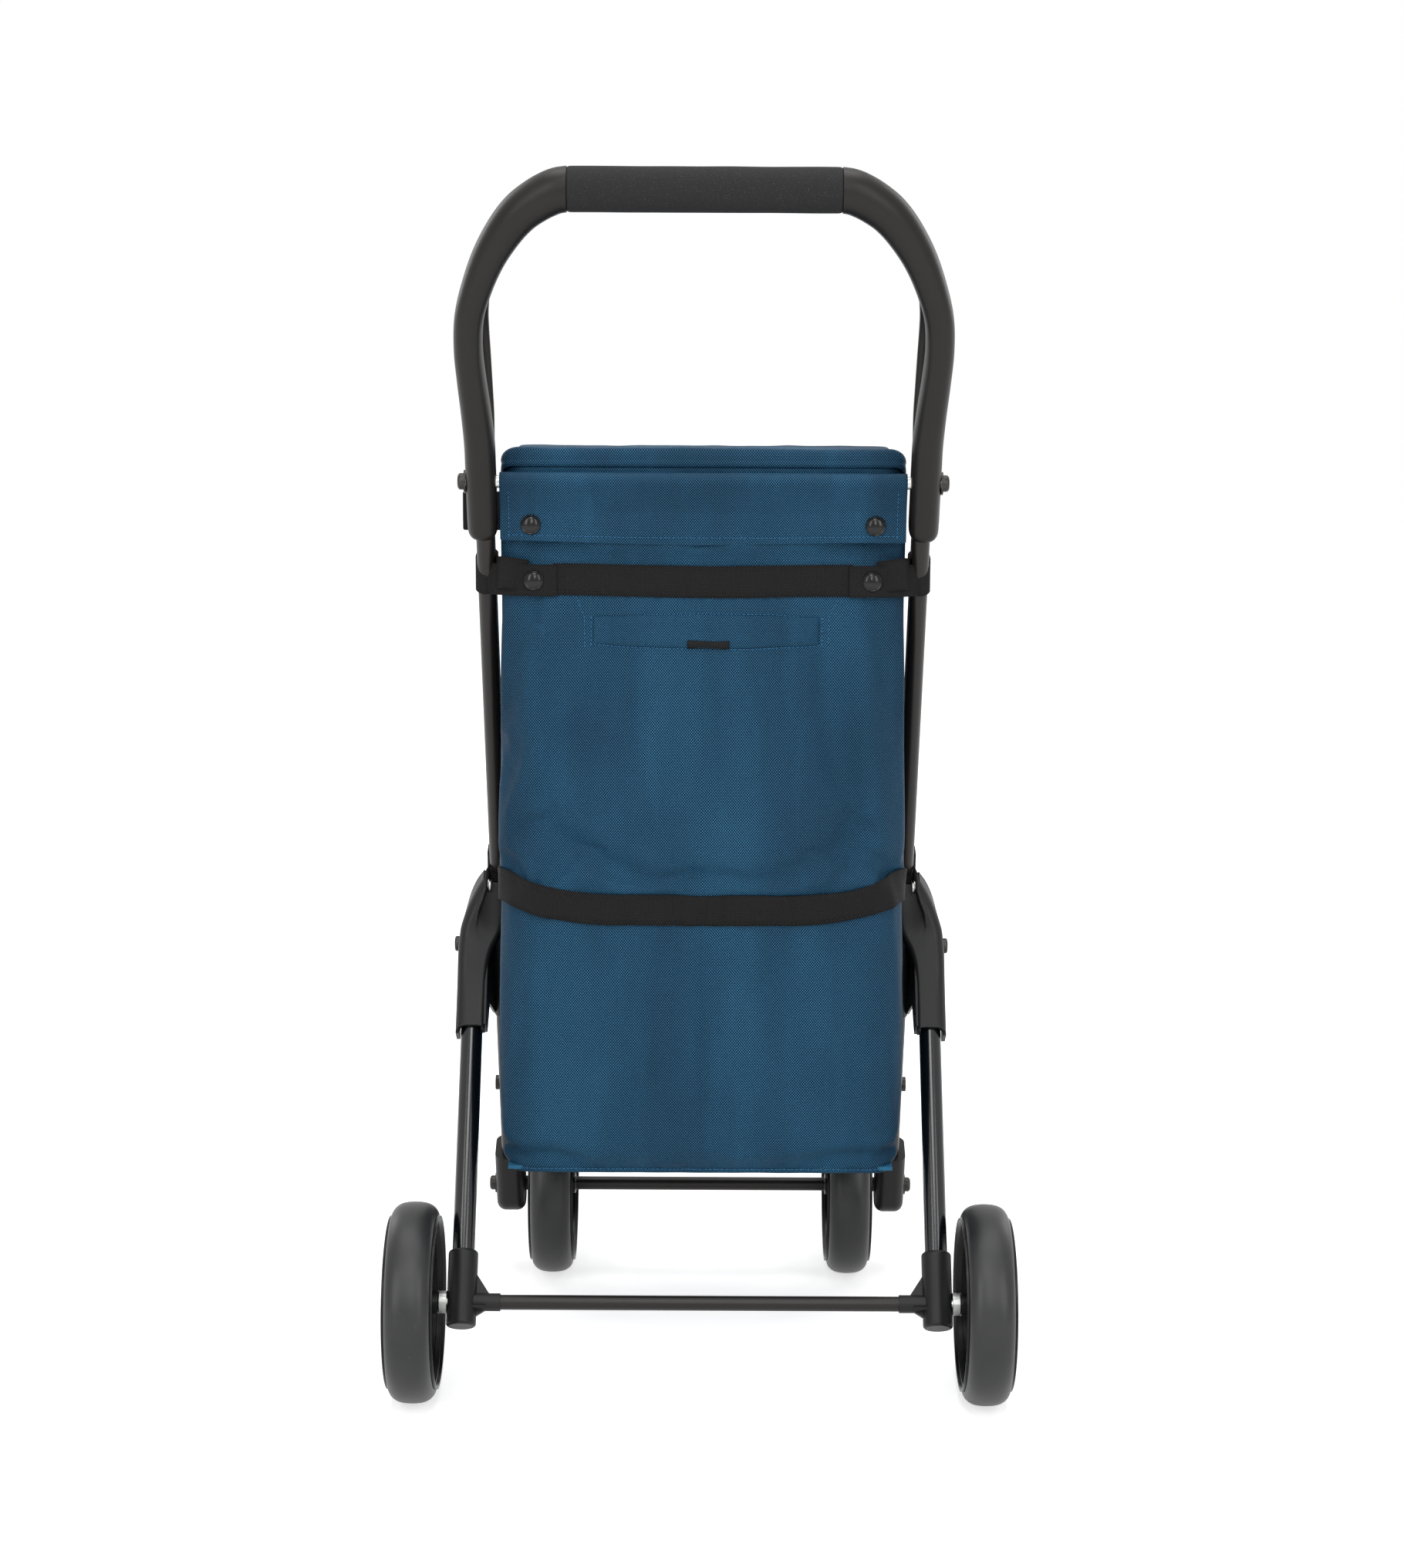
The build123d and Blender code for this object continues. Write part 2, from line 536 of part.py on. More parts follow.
def bag_lid():
    """Lid cloth: a roll along the hinge edge, the top sheet and the front drop."""
    z0 = BAG_TOP + SOFT_FIT
    front = BAG_FRONT_Y + LID_T + SOFT_FIT
    half = BAG_HALF - SOFT_FIT
    top = block(-half, half, BAG_BACK_Y, front, z0, z0 + LID_T)
    roll = block(-half, half, BAG_BACK_Y, BAG_BACK_Y + LID_ROLL_D, z0, z0 + LID_ROLL_H)
    roll = fillet(roll.edges().filter_by(Axis.X), LID_ROLL_D / 3)
    return top + roll


def lid_front_flap():
    z0 = BAG_TOP + SOFT_FIT
    front = BAG_FRONT_Y + SOFT_FIT
    half = BAG_HALF - SOFT_FIT
    return block(-half, half, front, front + LID_T, z0 - LID_DROP, z0)


def webbing_loop(along):
    """Webbing round the right main tube, centred at a distance along it."""
    loop = oval(MAIN_TUBE_D + 2 * (SEAT_FIT + WEBBING_T), MAIN_TUBE_W + 2 * (SEAT_FIT + WEBBING_T))
    loop -= oval(MAIN_TUBE_D + 2 * SEAT_FIT, MAIN_TUBE_W + 2 * SEAT_FIT)
    return on_main(MAIN_TUBE_X) * Pos(0, 0, along - WEBBING_W / 2) * extrude(loop, amount=WEBBING_W)


def strap_tab():
    """Webbing tab: from the back panel, round the main tube and back to its snap."""
    along = (STRAP_Z - WHEEL_R) / cos(radians(MAIN_LEAN))
    ring = webbing_loop(along)
    face_y = BAG_BACK_Y - WEBBING_T
    flat = block(STRAP_HALF, BAG_HALF, face_y - WEBBING_T, BAG_BACK_Y - SOFT_FIT / 2,
                 STRAP_Z - WEBBING_W / 2, STRAP_Z + WEBBING_W / 2)
    tube_y = main_yz(along, MAIN_TUBE_D / 2)[0]
    near = Pos(BAG_HALF, (face_y - WEBBING_T + BAG_BACK_Y) / 2, STRAP_Z) * Rot(Y=90) * Rectangle(
        WEBBING_W, 2 * WEBBING_T)
    far = Pos(MAIN_TUBE_X, tube_y - WEBBING_T, STRAP_Z - TAB_SLIP) * Rot(
        X=MAIN_LEAN) * Rot(Y=90) * Rectangle(TAB_NECK_W, 2 * WEBBING_T)
    link = loft([near.face(), far.face()])
    return ring + flat + link - on_main(MAIN_TUBE_X) * tube_pocket(0, MAIN_TUBE_TOP)


def lower_strap():
    """Webbing round the back of the bag: level in the middle, rising to a loop on each main tube."""
    half_h = WEBBING_W / 2
    face = BAG_BACK_Y - SOFT_FIT
    side = BAG_HALF + SOFT_FIT
    level = BAG_HALF - LOWER_STRAP_LEVEL
    corner_z = LOWER_STRAP_Z + LOWER_STRAP_RISE
    end = side + WEBBING_T
    outline = Polygon((-end, corner_z - half_h), (-level, LOWER_STRAP_Z - half_h), (level, LOWER_STRAP_Z - half_h),
                      (end, corner_z - half_h), (end, corner_z + half_h), (level, LOWER_STRAP_Z + half_h),
                      (-level, LOWER_STRAP_Z + half_h), (-end, corner_z + half_h), align=None)
    band = Pos(0, face, 0) * extrude(Plane.XZ * outline, amount=WEBBING_T, dir=(0, -1, 0))
    near = MAIN_TUBE_D / 2 + SEAT_FIT
    low, high = KNEE_LOOP_ALONG - half_h, KNEE_LOOP_ALONG + half_h
    run = x_plate([(face - WEBBING_T, corner_z - half_h), main_yz(low, near), main_yz(high, near),
                   (face - WEBBING_T, corner_z + half_h)], side, end)
    turn = on_main() * block(side, MAIN_TUBE_X, -near - WEBBING_T, -near, low, high)
    half = run + turn + webbing_loop(KNEE_LOOP_ALONG)
    return band + half + other_side(half)


def side_tag():
    """A blank cloth tag sewn in the left side seam, standing out in front of the main tube."""
    y = main_yz(UPPER_ROD_ALONG)[0] + TAG_AHEAD
    return block(-BAG_HALF - TAG_W, -BAG_HALF, y, y + FLAP_T, TAG_Z - TAG_H / 2, TAG_Z + TAG_H / 2)


def back_trim(x0, x1, z0, z1, thick):
    """Something flat sewn on the back panel."""
    return block(x0, x1, BAG_BACK_Y - thick, BAG_BACK_Y, z0, z1)


# ---------------------------------------------------------------- the nodes
def build_nodes():
    nodes = {}

    def pair(name, shape):
        nodes[name + "_right"] = shape
        nodes[name + "_left"] = other_side(shape)

    pair("main_tube", main_tube())
    pair("front_bracket", front_bracket())
    pair("knee_bracket", knee_bracket())
    pair("handle_arm", handle_arm())
    pair("rear_leg", rear_leg())
    pair("rear_socket", rear_socket())
    nodes["knee_pivot_bolts"] = both_sides(pivot_bolt())

    nodes["handle_core_tube"] = hollow_bar(CORE_R, CORE_WALL, GRIP_HALF + CORE_SEAT - SEAT_FIT, GRIP_Y, GRIP_Z)
    grip = x_rod(GRIP_R, -GRIP_HALF + SEAT_FIT, GRIP_HALF - SEAT_FIT, GRIP_Y, GRIP_Z)
    grip = fillet(grip.edges().filter_by(GeomType.CIRCLE), GRIP_ROUND)
    nodes["foam_grip"] = grip - x_rod(CORE_R + SEAT_FIT, -GRIP_HALF, GRIP_HALF, GRIP_Y, GRIP_Z)

    nodes["upper_cross_rod"] = x_rod(UPPER_ROD_R, -ARM_SLEEVE_OUT, ARM_SLEEVE_OUT, ROD_Y, ROD_Z)
    nodes["front_axle"] = x_rod(AXLE_R, -BRACKET_OUT_X, BRACKET_OUT_X, FRONT_Y, WHEEL_R)
    nodes["upper_rod_nuts"] = both_sides(cap_nut(ARM_SLEEVE_OUT, ROD_Y, ROD_Z))
    nodes["front_axle_nuts"] = both_sides(cap_nut(BRACKET_OUT_X, FRONT_Y, WHEEL_R))
    nodes["front_cross_tube"] = hollow_bar(CROSS_TUBE_R, CROSS_TUBE_R - AXLE_R - SEAT_FIT,
                                           FRONT_HUB_IN_X - SOFT_FIT, FRONT_Y, WHEEL_R)
    spacer = x_rod(NUT_R, FRONT_HUB_OUT_X + SOFT_FIT, BRACKET_IN_X, FRONT_Y, WHEEL_R)
    spacer -= x_rod(AXLE_R + SEAT_FIT, FRONT_HUB_IN_X, BRACKET_OUT_X, FRONT_Y, WHEEL_R)
    nodes["front_spacers"] = both_sides(spacer)
    bar_half = MAIN_TUBE_X - MAIN_TUBE_W / 2
    nodes["bag_rest_bar"] = hollow_bar(REST_BAR_R, REST_BAR_R - PIVOT_R, bar_half, BAR_Y, BAR_Z)
    screw = x_rod(PIVOT_R, bar_half - 2 * MAIN_TUBE_W, MAIN_OUT_X, BAR_Y, BAR_Z)
    screw += x_rod(NUT_R, MAIN_OUT_X, MAIN_OUT_X + PIVOT_HEAD_T, BAR_Y, BAR_Z)
    nodes["rest_bar_screws"] = both_sides(screw)

    tube_half = REAR_LEG_X - SOCKET_R - SEAT_FIT
    nodes["rear_cross_tube"] = hollow_bar(CROSS_TUBE_R, CROSS_WALL, tube_half, REAR_Y, WHEEL_R)
    axle_half = REAR_WHEEL_X + TYRE_W / 2 - HUB_CAP_T / 2
    nodes["rear_axle"] = x_rod(AXLE_R, -axle_half, axle_half, REAR_Y, WHEEL_R)
    washer = x_rod(WASHER_R, SOCKET_OUT_X, REAR_HUB_IN_X - SOFT_FIT, REAR_Y, WHEEL_R)
    washer -= x_rod(AXLE_R + SEAT_FIT, SOCKET_OUT_X - 1, REAR_HUB_IN_X, REAR_Y, WHEEL_R)
    nodes["rear_washers"] = both_sides(washer)

    places = {"rear_right": (REAR_WHEEL_X, REAR_Y), "rear_left": (-REAR_WHEEL_X, REAR_Y),
              "front_right": (FRONT_WHEEL_X, FRONT_Y), "front_left": (-FRONT_WHEEL_X, FRONT_Y)}
    tyre, rim, bushes, cap = wheel_tyre(), wheel_rim(), wheel_bushes(), wheel_hub_cap()
    for name, (x, y) in places.items():
        nodes[name + "_tyre"] = at_wheel(x, y) * tyre
        nodes[name + "_rim"] = at_wheel(x, y) * rim
        nodes[name + "_bushes"] = at_wheel(x, y) * bushes
        if name.startswith("rear"):
            nodes[name + "_hub_cap"] = at_wheel(x, y) * cap

    nodes["bag_back_panel"] = upright_panel(BAG_HALF, BAG_BACK_Y, BAG_BACK_Y + CLOTH)
    nodes["bag_front_panel"] = upright_panel(BAG_HALF, BAG_FRONT_Y - CLOTH, BAG_FRONT_Y)
    pair("bag_side_panel", side_panel())
    nodes["bag_bottom_panel"] = sloping_sheet(BAG_HALF, BAG_BACK_Y, BAG_FRONT_Y, 0, CLOTH)
    inside = CLOTH + SOFT_FIT
    nodes["bag_base_board"] = sloping_sheet(BAG_HALF - inside, BAG_BACK_Y + inside,
                                            BAG_FRONT_Y - inside, CLOTH, BOARD_T)
    nodes["rod_loop"] = rod_loop()
    nodes["rod_flap"] = rod_flap()
    nodes["flap_snap_caps"] = both_sides(
        on_flap() * Pos(0, -FLAP_OFF, 0) * snap_cap(BAG_HALF - FLAP_SNAP_EDGE, FLAP_SNAP_Z - ROD_Z))
    nodes["flap_snap_studs"] = both_sides(Pos(0, BAG_BACK_Y, 0) * snap_cap(BAG_HALF - FLAP_SNAP_EDGE, FLAP_SNAP_Z))
    nodes["bag_lid"] = bag_lid()
    nodes["bag_lid_front_flap"] = lid_front_flap()
    nodes["upper_strap"] = back_trim(-STRAP_HALF, STRAP_HALF, STRAP_Z - WEBBING_W / 2,
                                     STRAP_Z + WEBBING_W / 2, WEBBING_T)
    pair("strap_tab", strap_tab())
    nodes["strap_snap_caps"] = both_sides(
        Pos(0, BAG_BACK_Y - 2 * WEBBING_T, 0) * snap_cap(BAG_HALF - STRAP_SNAP_EDGE, STRAP_Z))
    nodes["lower_strap"] = lower_strap()
    nodes["side_tag"] = side_tag()
    pocket_half = BAG_HALF - POCKET_MARGIN
    nodes["slot_pocket"] = back_trim(-pocket_half, pocket_half, POCKET_Z - POCKET_H / 2,
                                     POCKET_Z + POCKET_H / 2, WEBBING_T / 2)
    return nodes


os.makedirs("parts", exist_ok=True)
for node, solid in build_nodes().items():
    export_step(solid, f"parts/{node}.step")
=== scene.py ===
import math

import bmesh
import bpy
from mathutils import Matrix, Vector, noise
from mathutils.bvhtree import BVHTree


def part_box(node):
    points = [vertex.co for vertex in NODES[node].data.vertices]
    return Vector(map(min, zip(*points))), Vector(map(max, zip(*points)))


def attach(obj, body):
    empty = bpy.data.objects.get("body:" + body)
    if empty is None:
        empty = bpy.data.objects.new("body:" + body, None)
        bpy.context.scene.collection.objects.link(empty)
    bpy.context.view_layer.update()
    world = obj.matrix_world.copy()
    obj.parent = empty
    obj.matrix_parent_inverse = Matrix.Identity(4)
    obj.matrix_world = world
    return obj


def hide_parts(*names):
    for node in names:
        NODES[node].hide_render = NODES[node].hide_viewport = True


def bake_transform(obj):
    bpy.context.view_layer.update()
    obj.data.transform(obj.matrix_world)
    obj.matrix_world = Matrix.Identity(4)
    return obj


# A four-wheel shopping trolley: a petrol-blue cloth bag on a black folding frame. Metres throughout;
# +X is the user's right, +Y forward, +Z up.

MM = 0.001
TAU = 2 * math.pi

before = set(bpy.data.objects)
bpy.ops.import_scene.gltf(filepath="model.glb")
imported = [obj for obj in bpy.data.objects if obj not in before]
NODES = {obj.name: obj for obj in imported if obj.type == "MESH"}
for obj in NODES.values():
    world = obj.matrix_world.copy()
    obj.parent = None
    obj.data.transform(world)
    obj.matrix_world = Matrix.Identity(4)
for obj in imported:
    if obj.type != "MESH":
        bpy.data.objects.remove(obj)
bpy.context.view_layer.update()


# ---------------------------------------------------------------- places read from the frame
def middle(node):
    """The middle of a CAD node's box."""
    low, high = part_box(node)
    return (low + high) / 2


AXLE = middle("front_axle")
ROD = middle("upper_cross_rod")
PIVOT = middle("knee_pivot_bolts")
REAR_AXLE = middle("rear_axle")
GRIP = middle("foam_grip")
TUBE_X = middle("main_tube_right").x
TUBE_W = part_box("main_tube_right")[1].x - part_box("main_tube_right")[0].x
TUBE_D = 2 * TUBE_W
LEAN = math.atan2(AXLE.y - ROD.y, ROD.z - AXLE.z)
UP_TUBE = Vector((0, -math.sin(LEAN), math.cos(LEAN)))
AHEAD_OF_TUBE = Vector((0, math.cos(LEAN), math.sin(LEAN)))
BAG_LOW, BAG_TOP_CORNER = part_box("bag_back_panel")
BAG_HALF = BAG_TOP_CORNER.x
BAG_BACK = BAG_LOW.y
BAG_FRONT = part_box("bag_front_panel")[1].y
BAG_FOOT = BAG_LOW.z
BAG_TOP = BAG_TOP_CORNER.z
BAG_FRONT_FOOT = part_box("bag_bottom_panel")[1].z


def on_tube(x, along, ahead=0.0):
    """A point beside a main tube: along it from the front axle, and ahead of its axis."""
    return Vector((x, AXLE.y, AXLE.z)) + along * UP_TUBE + ahead * AHEAD_OF_TUBE


# ---------------------------------------------------------------- arithmetic
def clamp(value):
    """A value kept between 0 and 1."""
    return min(max(value, 0.0), 1.0)


def ease(value):
    """A share from 0 to 1 that starts and ends softly."""
    value = clamp(value)
    return value * value * (3 - 2 * value)


def turns(count):
    """Cosine and sine at each of the even steps of a full turn."""
    return [(math.cos(TAU * step / count), math.sin(TAU * step / count)) for step in range(count)]


def rounded(value, power):
    """A cosine or sine bent from a circle's towards a rounded square's."""
    return math.copysign(abs(value) ** power, value)


# ---------------------------------------------------------------- shader arithmetic
class Wire:
    """A shader value. The signs of arithmetic between wires and numbers add Math nodes."""

    def __init__(self, paint, socket):
        self.paint = paint
        self.socket = socket

    def math(self, operation, *values):
        return self.paint.node("ShaderNodeMath", {"operation": operation}, (self, *values))

    def __add__(self, other):
        return self.math("ADD", other)

    def __sub__(self, other):
        return self.math("SUBTRACT", other)

    def __rsub__(self, other):
        return self.math("MULTIPLY_ADD", -1.0, other)

    def __mul__(self, other):
        return self.math("MULTIPLY", other)

    __radd__ = __add__
    __rmul__ = __mul__

    def wave(self):
        return self.math("COSINE")

    def step(self, low, high):
        """0 below low, 1 above high, smooth between."""
        return self.paint.node("ShaderNodeMapRange", {"interpolation_type": "SMOOTHSTEP"},
                               {"Value": self, "From Min": low, "From Max": high})


class Paint:
    """A material being made. node() adds any node and gives back one of its outputs as a Wire."""

    def __init__(self, name):
        self.material = bpy.data.materials.new(name)
        self.material.use_nodes = True
        self.tree = self.material.node_tree
        self.skin = self.tree.nodes["Principled BSDF"]

    def node(self, kind, settings=None, values=(), output=0):
        made = self.tree.nodes.new(kind)
        for key, value in (settings or {}).items():
            setattr(made, key, value)
        pairs = values.items() if isinstance(values, dict) else enumerate(values)
        for key, value in pairs:
            self.put(made.inputs[key], value)
        return Wire(self, made.outputs[output])

    def put(self, socket, value):
        if isinstance(value, Wire):
            self.tree.links.new(value.socket, socket)
        else:
            socket.default_value = value

    def blend(self, factor, low, high):
        """A colour between two colours."""
        return self.node("ShaderNodeMix", {"data_type": "RGBA"},
                         {0: factor, 6: low, 7: high}, output=2)

    def axis(self, vector, name):
        """One axis, X, Y or Z, of a vector."""
        return self.node("ShaderNodeSeparateXYZ", {}, (vector,), output=name)

    def cloth_map(self):
        """The cloth map in metres, as a vector and as its two axes."""
        flat = self.node("ShaderNodeTexCoord", output="UV")
        return flat, self.axis(flat, "X"), self.axis(flat, "Y")

    def place(self, scale=(1.0, 1.0, 1.0)):
        """Object coordinates in metres, stretched by a scale."""
        where = self.node("ShaderNodeTexCoord", output="Object")
        return self.node("ShaderNodeMapping", {}, {"Vector": where, "Scale": scale})

    def noise(self, size, detail=2.0, where=None, roughness=0.5):
        """Soft noise from 0 to 1, with features of about the given size."""
        return self.node("ShaderNodeTexNoise", {}, {
            "Vector": where or self.place(), "Scale": 1 / size, "Detail": detail, "Roughness": roughness})

    def finish(self, colour, roughness, height=None, depth=0.0, **plain):
        """Sets the skin: colour and roughness may be wires; height is a relief of a given depth."""
        self.put(self.skin.inputs["Base Color"], colour)
        self.put(self.skin.inputs["Roughness"], roughness)
        if height is not None:
            bump = self.node("ShaderNodeBump", {}, {"Strength": 1.0, "Distance": depth, "Height": height})
            self.put(self.skin.inputs["Normal"], bump)
        for key, value in plain.items():
            self.put(self.skin.inputs[key.replace("_", " ").title().replace("Ior", "IOR")], value)
        return self.material


def tint(red, green, blue):
    """A colour from its 0 to 255 screen values."""
    def linear(level):
        level /= 255
        return level / 12.92 if level <= 0.04045 else ((level + 0.055) / 1.055) ** 2.4
    return (linear(red), linear(green), linear(blue), 1.0)


# ---------------------------------------------------------------- materials
WEAVE = 2.0 * MM
WEAVE_ROW = 2.3 * MM
# painted shade: the cloth's colour is darkened from here to there across the bag, where its sides turn away
# from the lamps
SHADE_FROM, SHADE_TO = 0.108, 0.155


def cloth_paint():
    """Coarse basket-weave nylon: dark petrol ground with lighter yarn floats in staggered rows, whose
    colour also carries painted sheen bands and painted shade towards the bag's sides.
    """
    paint = Paint("bag_cloth")
    flat, u, v = paint.cloth_map()
    drift = paint.noise(0.012, 1.0, flat) * 0.5
    floats = (u * (TAU / WEAVE) + drift).wave() * (v * (TAU / WEAVE_ROW) + drift).wave()
    yarn = (u * (2 * TAU / WEAVE) + v * (TAU / WEAVE_ROW)).wave() * 0.12
    crest = (floats + yarn).step(-0.35, 0.75)
    cloudy = paint.noise(0.09, 3.0)
    # painted sheen: broad and narrow vertical noise bands lighten and darken the yarn floats, standing in
    # for the sheen off creases
    broad = paint.noise(0.085, 2.0, paint.place((1.0, 1.0, 0.3))).step(0.3, 0.72)
    narrow_sheen_bands = paint.noise(0.022, 2.0, paint.place((1.0, 1.0, 0.14))).step(0.5, 0.75)
    # painted shade: the yarn floats are darkened towards the bag's sides, where they turn away from the
    # lamps
    across = paint.axis(paint.place(), "X")
    turned = (across * across).step(SHADE_FROM ** 2, SHADE_TO ** 2)
    dark = paint.blend(cloudy, tint(4, 15, 29), tint(9, 24, 42))
    light = paint.blend(cloudy, tint(44, 104, 140), tint(62, 130, 170))
    scuffs = paint.noise(0.03, 5.0, roughness=0.65).step(0.62, 0.8) * 0.08
    # the floats' lightness, scaled by the painted sheen bands and by the painted shade towards the bag's
    # sides
    yarns_painted_light = crest * (0.62 + 0.42 * broad + 0.16 * narrow_sheen_bands - 0.3 * turned)
    colour = paint.blend(yarns_painted_light + scuffs, dark, light)
    roughness = 0.6 - 0.12 * crest + 0.08 * cloudy
    return paint.finish(colour, roughness, crest, 0.3 * MM, specular_ior_level=0.12)


def webbing_paint():
    """Black polyester webbing: fine warp ribs along its length, crossed by the weft."""
    paint = Paint("webbing")
    flat, u, v = paint.cloth_map()
    ribs = (v * (TAU / (1.25 * MM))).wave()
    weft = (u * (TAU / (1.6 * MM)) + ribs * 1.5).wave()
    relief = ribs * 0.35 + weft * 0.65
    worn = paint.noise(0.02, 3.0, flat)
    colour = paint.blend(relief.step(-0.6, 0.9) * 0.8 + worn * 0.2, tint(6, 6, 7), tint(33, 32, 33))
    return paint.finish(colour, 0.62 + 0.12 * worn, relief, 0.2 * MM, specular_ior_level=0.16)


def thread_paint(name, colour):
    """Twisted sewing thread."""
    paint = Paint(name)
    twist = paint.noise(0.8 * MM, 1.0)
    return paint.finish(colour, 0.5 + 0.1 * twist, twist, 0.05 * MM, specular_ior_level=0.25)


def tube_paint():
    """Satin powder coat with a warm cast and a faint orange peel."""
    paint = Paint("painted_tube")
    peel = paint.noise(1.6 * MM, 2.0)
    hue = paint.noise(0.12, 2.0)
    colour = paint.blend(hue, tint(17, 15, 14), tint(30, 25, 22))
    return paint.finish(colour, 0.3 + 0.1 * hue, peel, 0.02 * MM, specular_ior_level=0.3)


def leg_paint():
    """Gloss black lacquer of the rear legs."""
    paint = Paint("gloss_tube")
    peel = paint.noise(2.5 * MM, 1.0)
    dust = paint.noise(1.2 * MM, 3.0).step(0.74, 0.84)
    colour = paint.blend(dust, tint(8, 10, 14), tint(40, 42, 44))
    return paint.finish(colour, 0.16 + 0.3 * dust, peel, 0.008 * MM, specular_ior_level=0.55)


def moulded_paint(name, dark, light, roughness, grain, depth):
    """Moulded plastic with a fine eroded grain."""
    paint = Paint(name)
    pores = paint.noise(grain, 3.0)
    cloudy = paint.noise(0.05, 3.0)
    colour = paint.blend(cloudy * 0.7 + pores * 0.3, dark, light)
    return paint.finish(colour, roughness + 0.1 * cloudy, pores, depth, specular_ior_level=0.22)


def foam_paint():
    """Closed-cell foam: a dense speckle of tiny open cells."""
    paint = Paint("grip_foam")
    cells = paint.node("ShaderNodeTexVoronoi", {}, {"Vector": paint.place(), "Scale": 1 / (0.9 * MM)},
                       "Distance")
    speck = paint.noise(0.7 * MM, 2.0).step(0.6, 0.8)
    colour = paint.blend(speck, tint(40, 40, 41), tint(84, 84, 84))
    return paint.finish(colour, 0.82, cells, 0.12 * MM, specular_ior_level=0.15)


def tyre_paint():
    """Moulded tyre compound: soft satin, with dust and small white specks."""
    paint = Paint("tyre")
    dusty = paint.noise(0.03, 4.0)
    specks = paint.noise(1.1 * MM, 2.0).step(0.76, 0.82)
    grain = paint.noise(0.8 * MM, 2.0)
    colour = paint.blend(dusty, tint(23, 24, 24), tint(42, 42, 42))
    colour = paint.blend(specks * 0.6, colour, tint(150, 150, 145))
    return paint.finish(colour, 0.32 + 0.2 * dusty, grain, 0.03 * MM, specular_ior_level=0.4)


def metal_paint(name, colour, roughness):
    """Plated steel with fine turning marks."""
    paint = Paint(name)
    marks = paint.noise(0.5 * MM, 3.0, paint.place((40.0, 1.0, 1.0)))
    stain = paint.noise(4 * MM, 2.0)
    return paint.finish(paint.blend(stain * 0.3, colour, tint(90, 90, 88)), roughness + 0.12 * marks,
                        marks, 0.01 * MM, metallic=1.0)


def snap_paint():
    """Gloss black enamel of the press studs, with fine scratches."""
    paint = Paint("snap_enamel")
    hair = paint.noise(1.5 * MM, 4.0, paint.place((1.0, 1.0, 9.0)), 0.7)
    colour = paint.blend(hair.step(0.66, 0.76) * 0.5, tint(4, 4, 4), tint(44, 38, 34))
    return paint.finish(colour, 0.14 + 0.12 * hair, specular_ior_level=0.3)


CLOTH = cloth_paint()
WEBBING = webbing_paint()
BLUE_THREAD = thread_paint("blue_thread", tint(50, 108, 150))
BLACK_THREAD = thread_paint("black_thread", tint(14, 14, 15))
PAINTED_TUBE = tube_paint()
GLOSS_TUBE = leg_paint()
BRACKET = moulded_paint("bracket_plastic", tint(22, 22, 23), tint(34, 34, 34), 0.36, 0.5 * MM, 0.05 * MM)
ARM = moulded_paint("arm_plastic", tint(20, 18, 17), tint(33, 30, 27), 0.36, 0.35 * MM, 0.02 * MM)
WHEEL = moulded_paint("wheel_plastic", tint(7, 7, 8), tint(15, 15, 16), 0.26, 0.8 * MM, 0.01 * MM)
BUSHING = moulded_paint("bush_plastic", tint(70, 70, 68), tint(100, 100, 96), 0.4, 0.5 * MM, 0.01 * MM)
BOARD = moulded_paint("board_plastic", tint(22, 22, 23), tint(34, 34, 35), 0.5, 1.5 * MM, 0.05 * MM)
TAG = moulded_paint("tag_cloth", tint(5, 5, 6), tint(16, 16, 17), 0.7, 0.6 * MM, 0.12 * MM)
FOAM = foam_paint()
TYRE = tyre_paint()
ZINC = metal_paint("zinc_steel", tint(196, 198, 194), 0.28)
BLACK_STEEL = metal_paint("black_steel", tint(52, 50, 48), 0.34)
SNAP = snap_paint()

FINISHES = {
    "tyre": TYRE, "rim": WHEEL, "hub_cap": WHEEL, "bushes": BUSHING, "main_tube": PAINTED_TUBE,
    "rear_leg": GLOSS_TUBE, "cross_tube": PAINTED_TUBE, "rest_bar": PAINTED_TUBE,
    "bracket": BRACKET, "socket": BRACKET, "spacers": BRACKET, "handle_arm": ARM, "foam_grip": FOAM,
    "axle": ZINC, "cross_rod": ZINC, "washers": ZINC, "core_tube": ZINC, "bolts": BLACK_STEEL,
    "nuts": BLACK_STEEL, "screws": BLACK_STEEL, "strap": WEBBING, "side_tag": TAG, "base_board": BOARD,
    "bag": CLOTH, "rod_flap": CLOTH, "rod_loop": CLOTH, "slot_pocket": CLOTH, "snap": SNAP,
}


def dress_nodes():
    """Gives every CAD node its finish; the last word that fits its name decides."""
    for name, node in NODES.items():
        fitting = [paint for word, paint in FINISHES.items() if word in name]
        node.data.materials.clear()
        node.data.materials.append(fitting[-1])


dress_nodes()


# ---------------------------------------------------------------- studio
CAMERA_AT = (0.0, -2.5097, 0.8876)
CAMERA_DOWN = 9.329
CAMERA_ROLL = 0.27
LENS = 69.91
SENSOR = 36.0


def in_scene(name, data):
    """A new object of some data, linked into the scene."""
    made = bpy.data.objects.new(name, data)
    bpy.context.scene.collection.objects.link(made)
    return made


def set_camera():
    lens = bpy.data.cameras.new("view")
    lens.sensor_fit = "VERTICAL"
    lens.sensor_height = SENSOR
    lens.lens = LENS
    eye = in_scene("view", lens)
    tilt = Matrix.Rotation(math.radians(90 - CAMERA_DOWN), 4, "X")
    roll = Matrix.Rotation(math.radians(CAMERA_ROLL), 4, "Z")
    eye.matrix_world = Matrix.Translation(CAMERA_AT) @ tilt @ roll
    bpy.context.scene.camera = eye


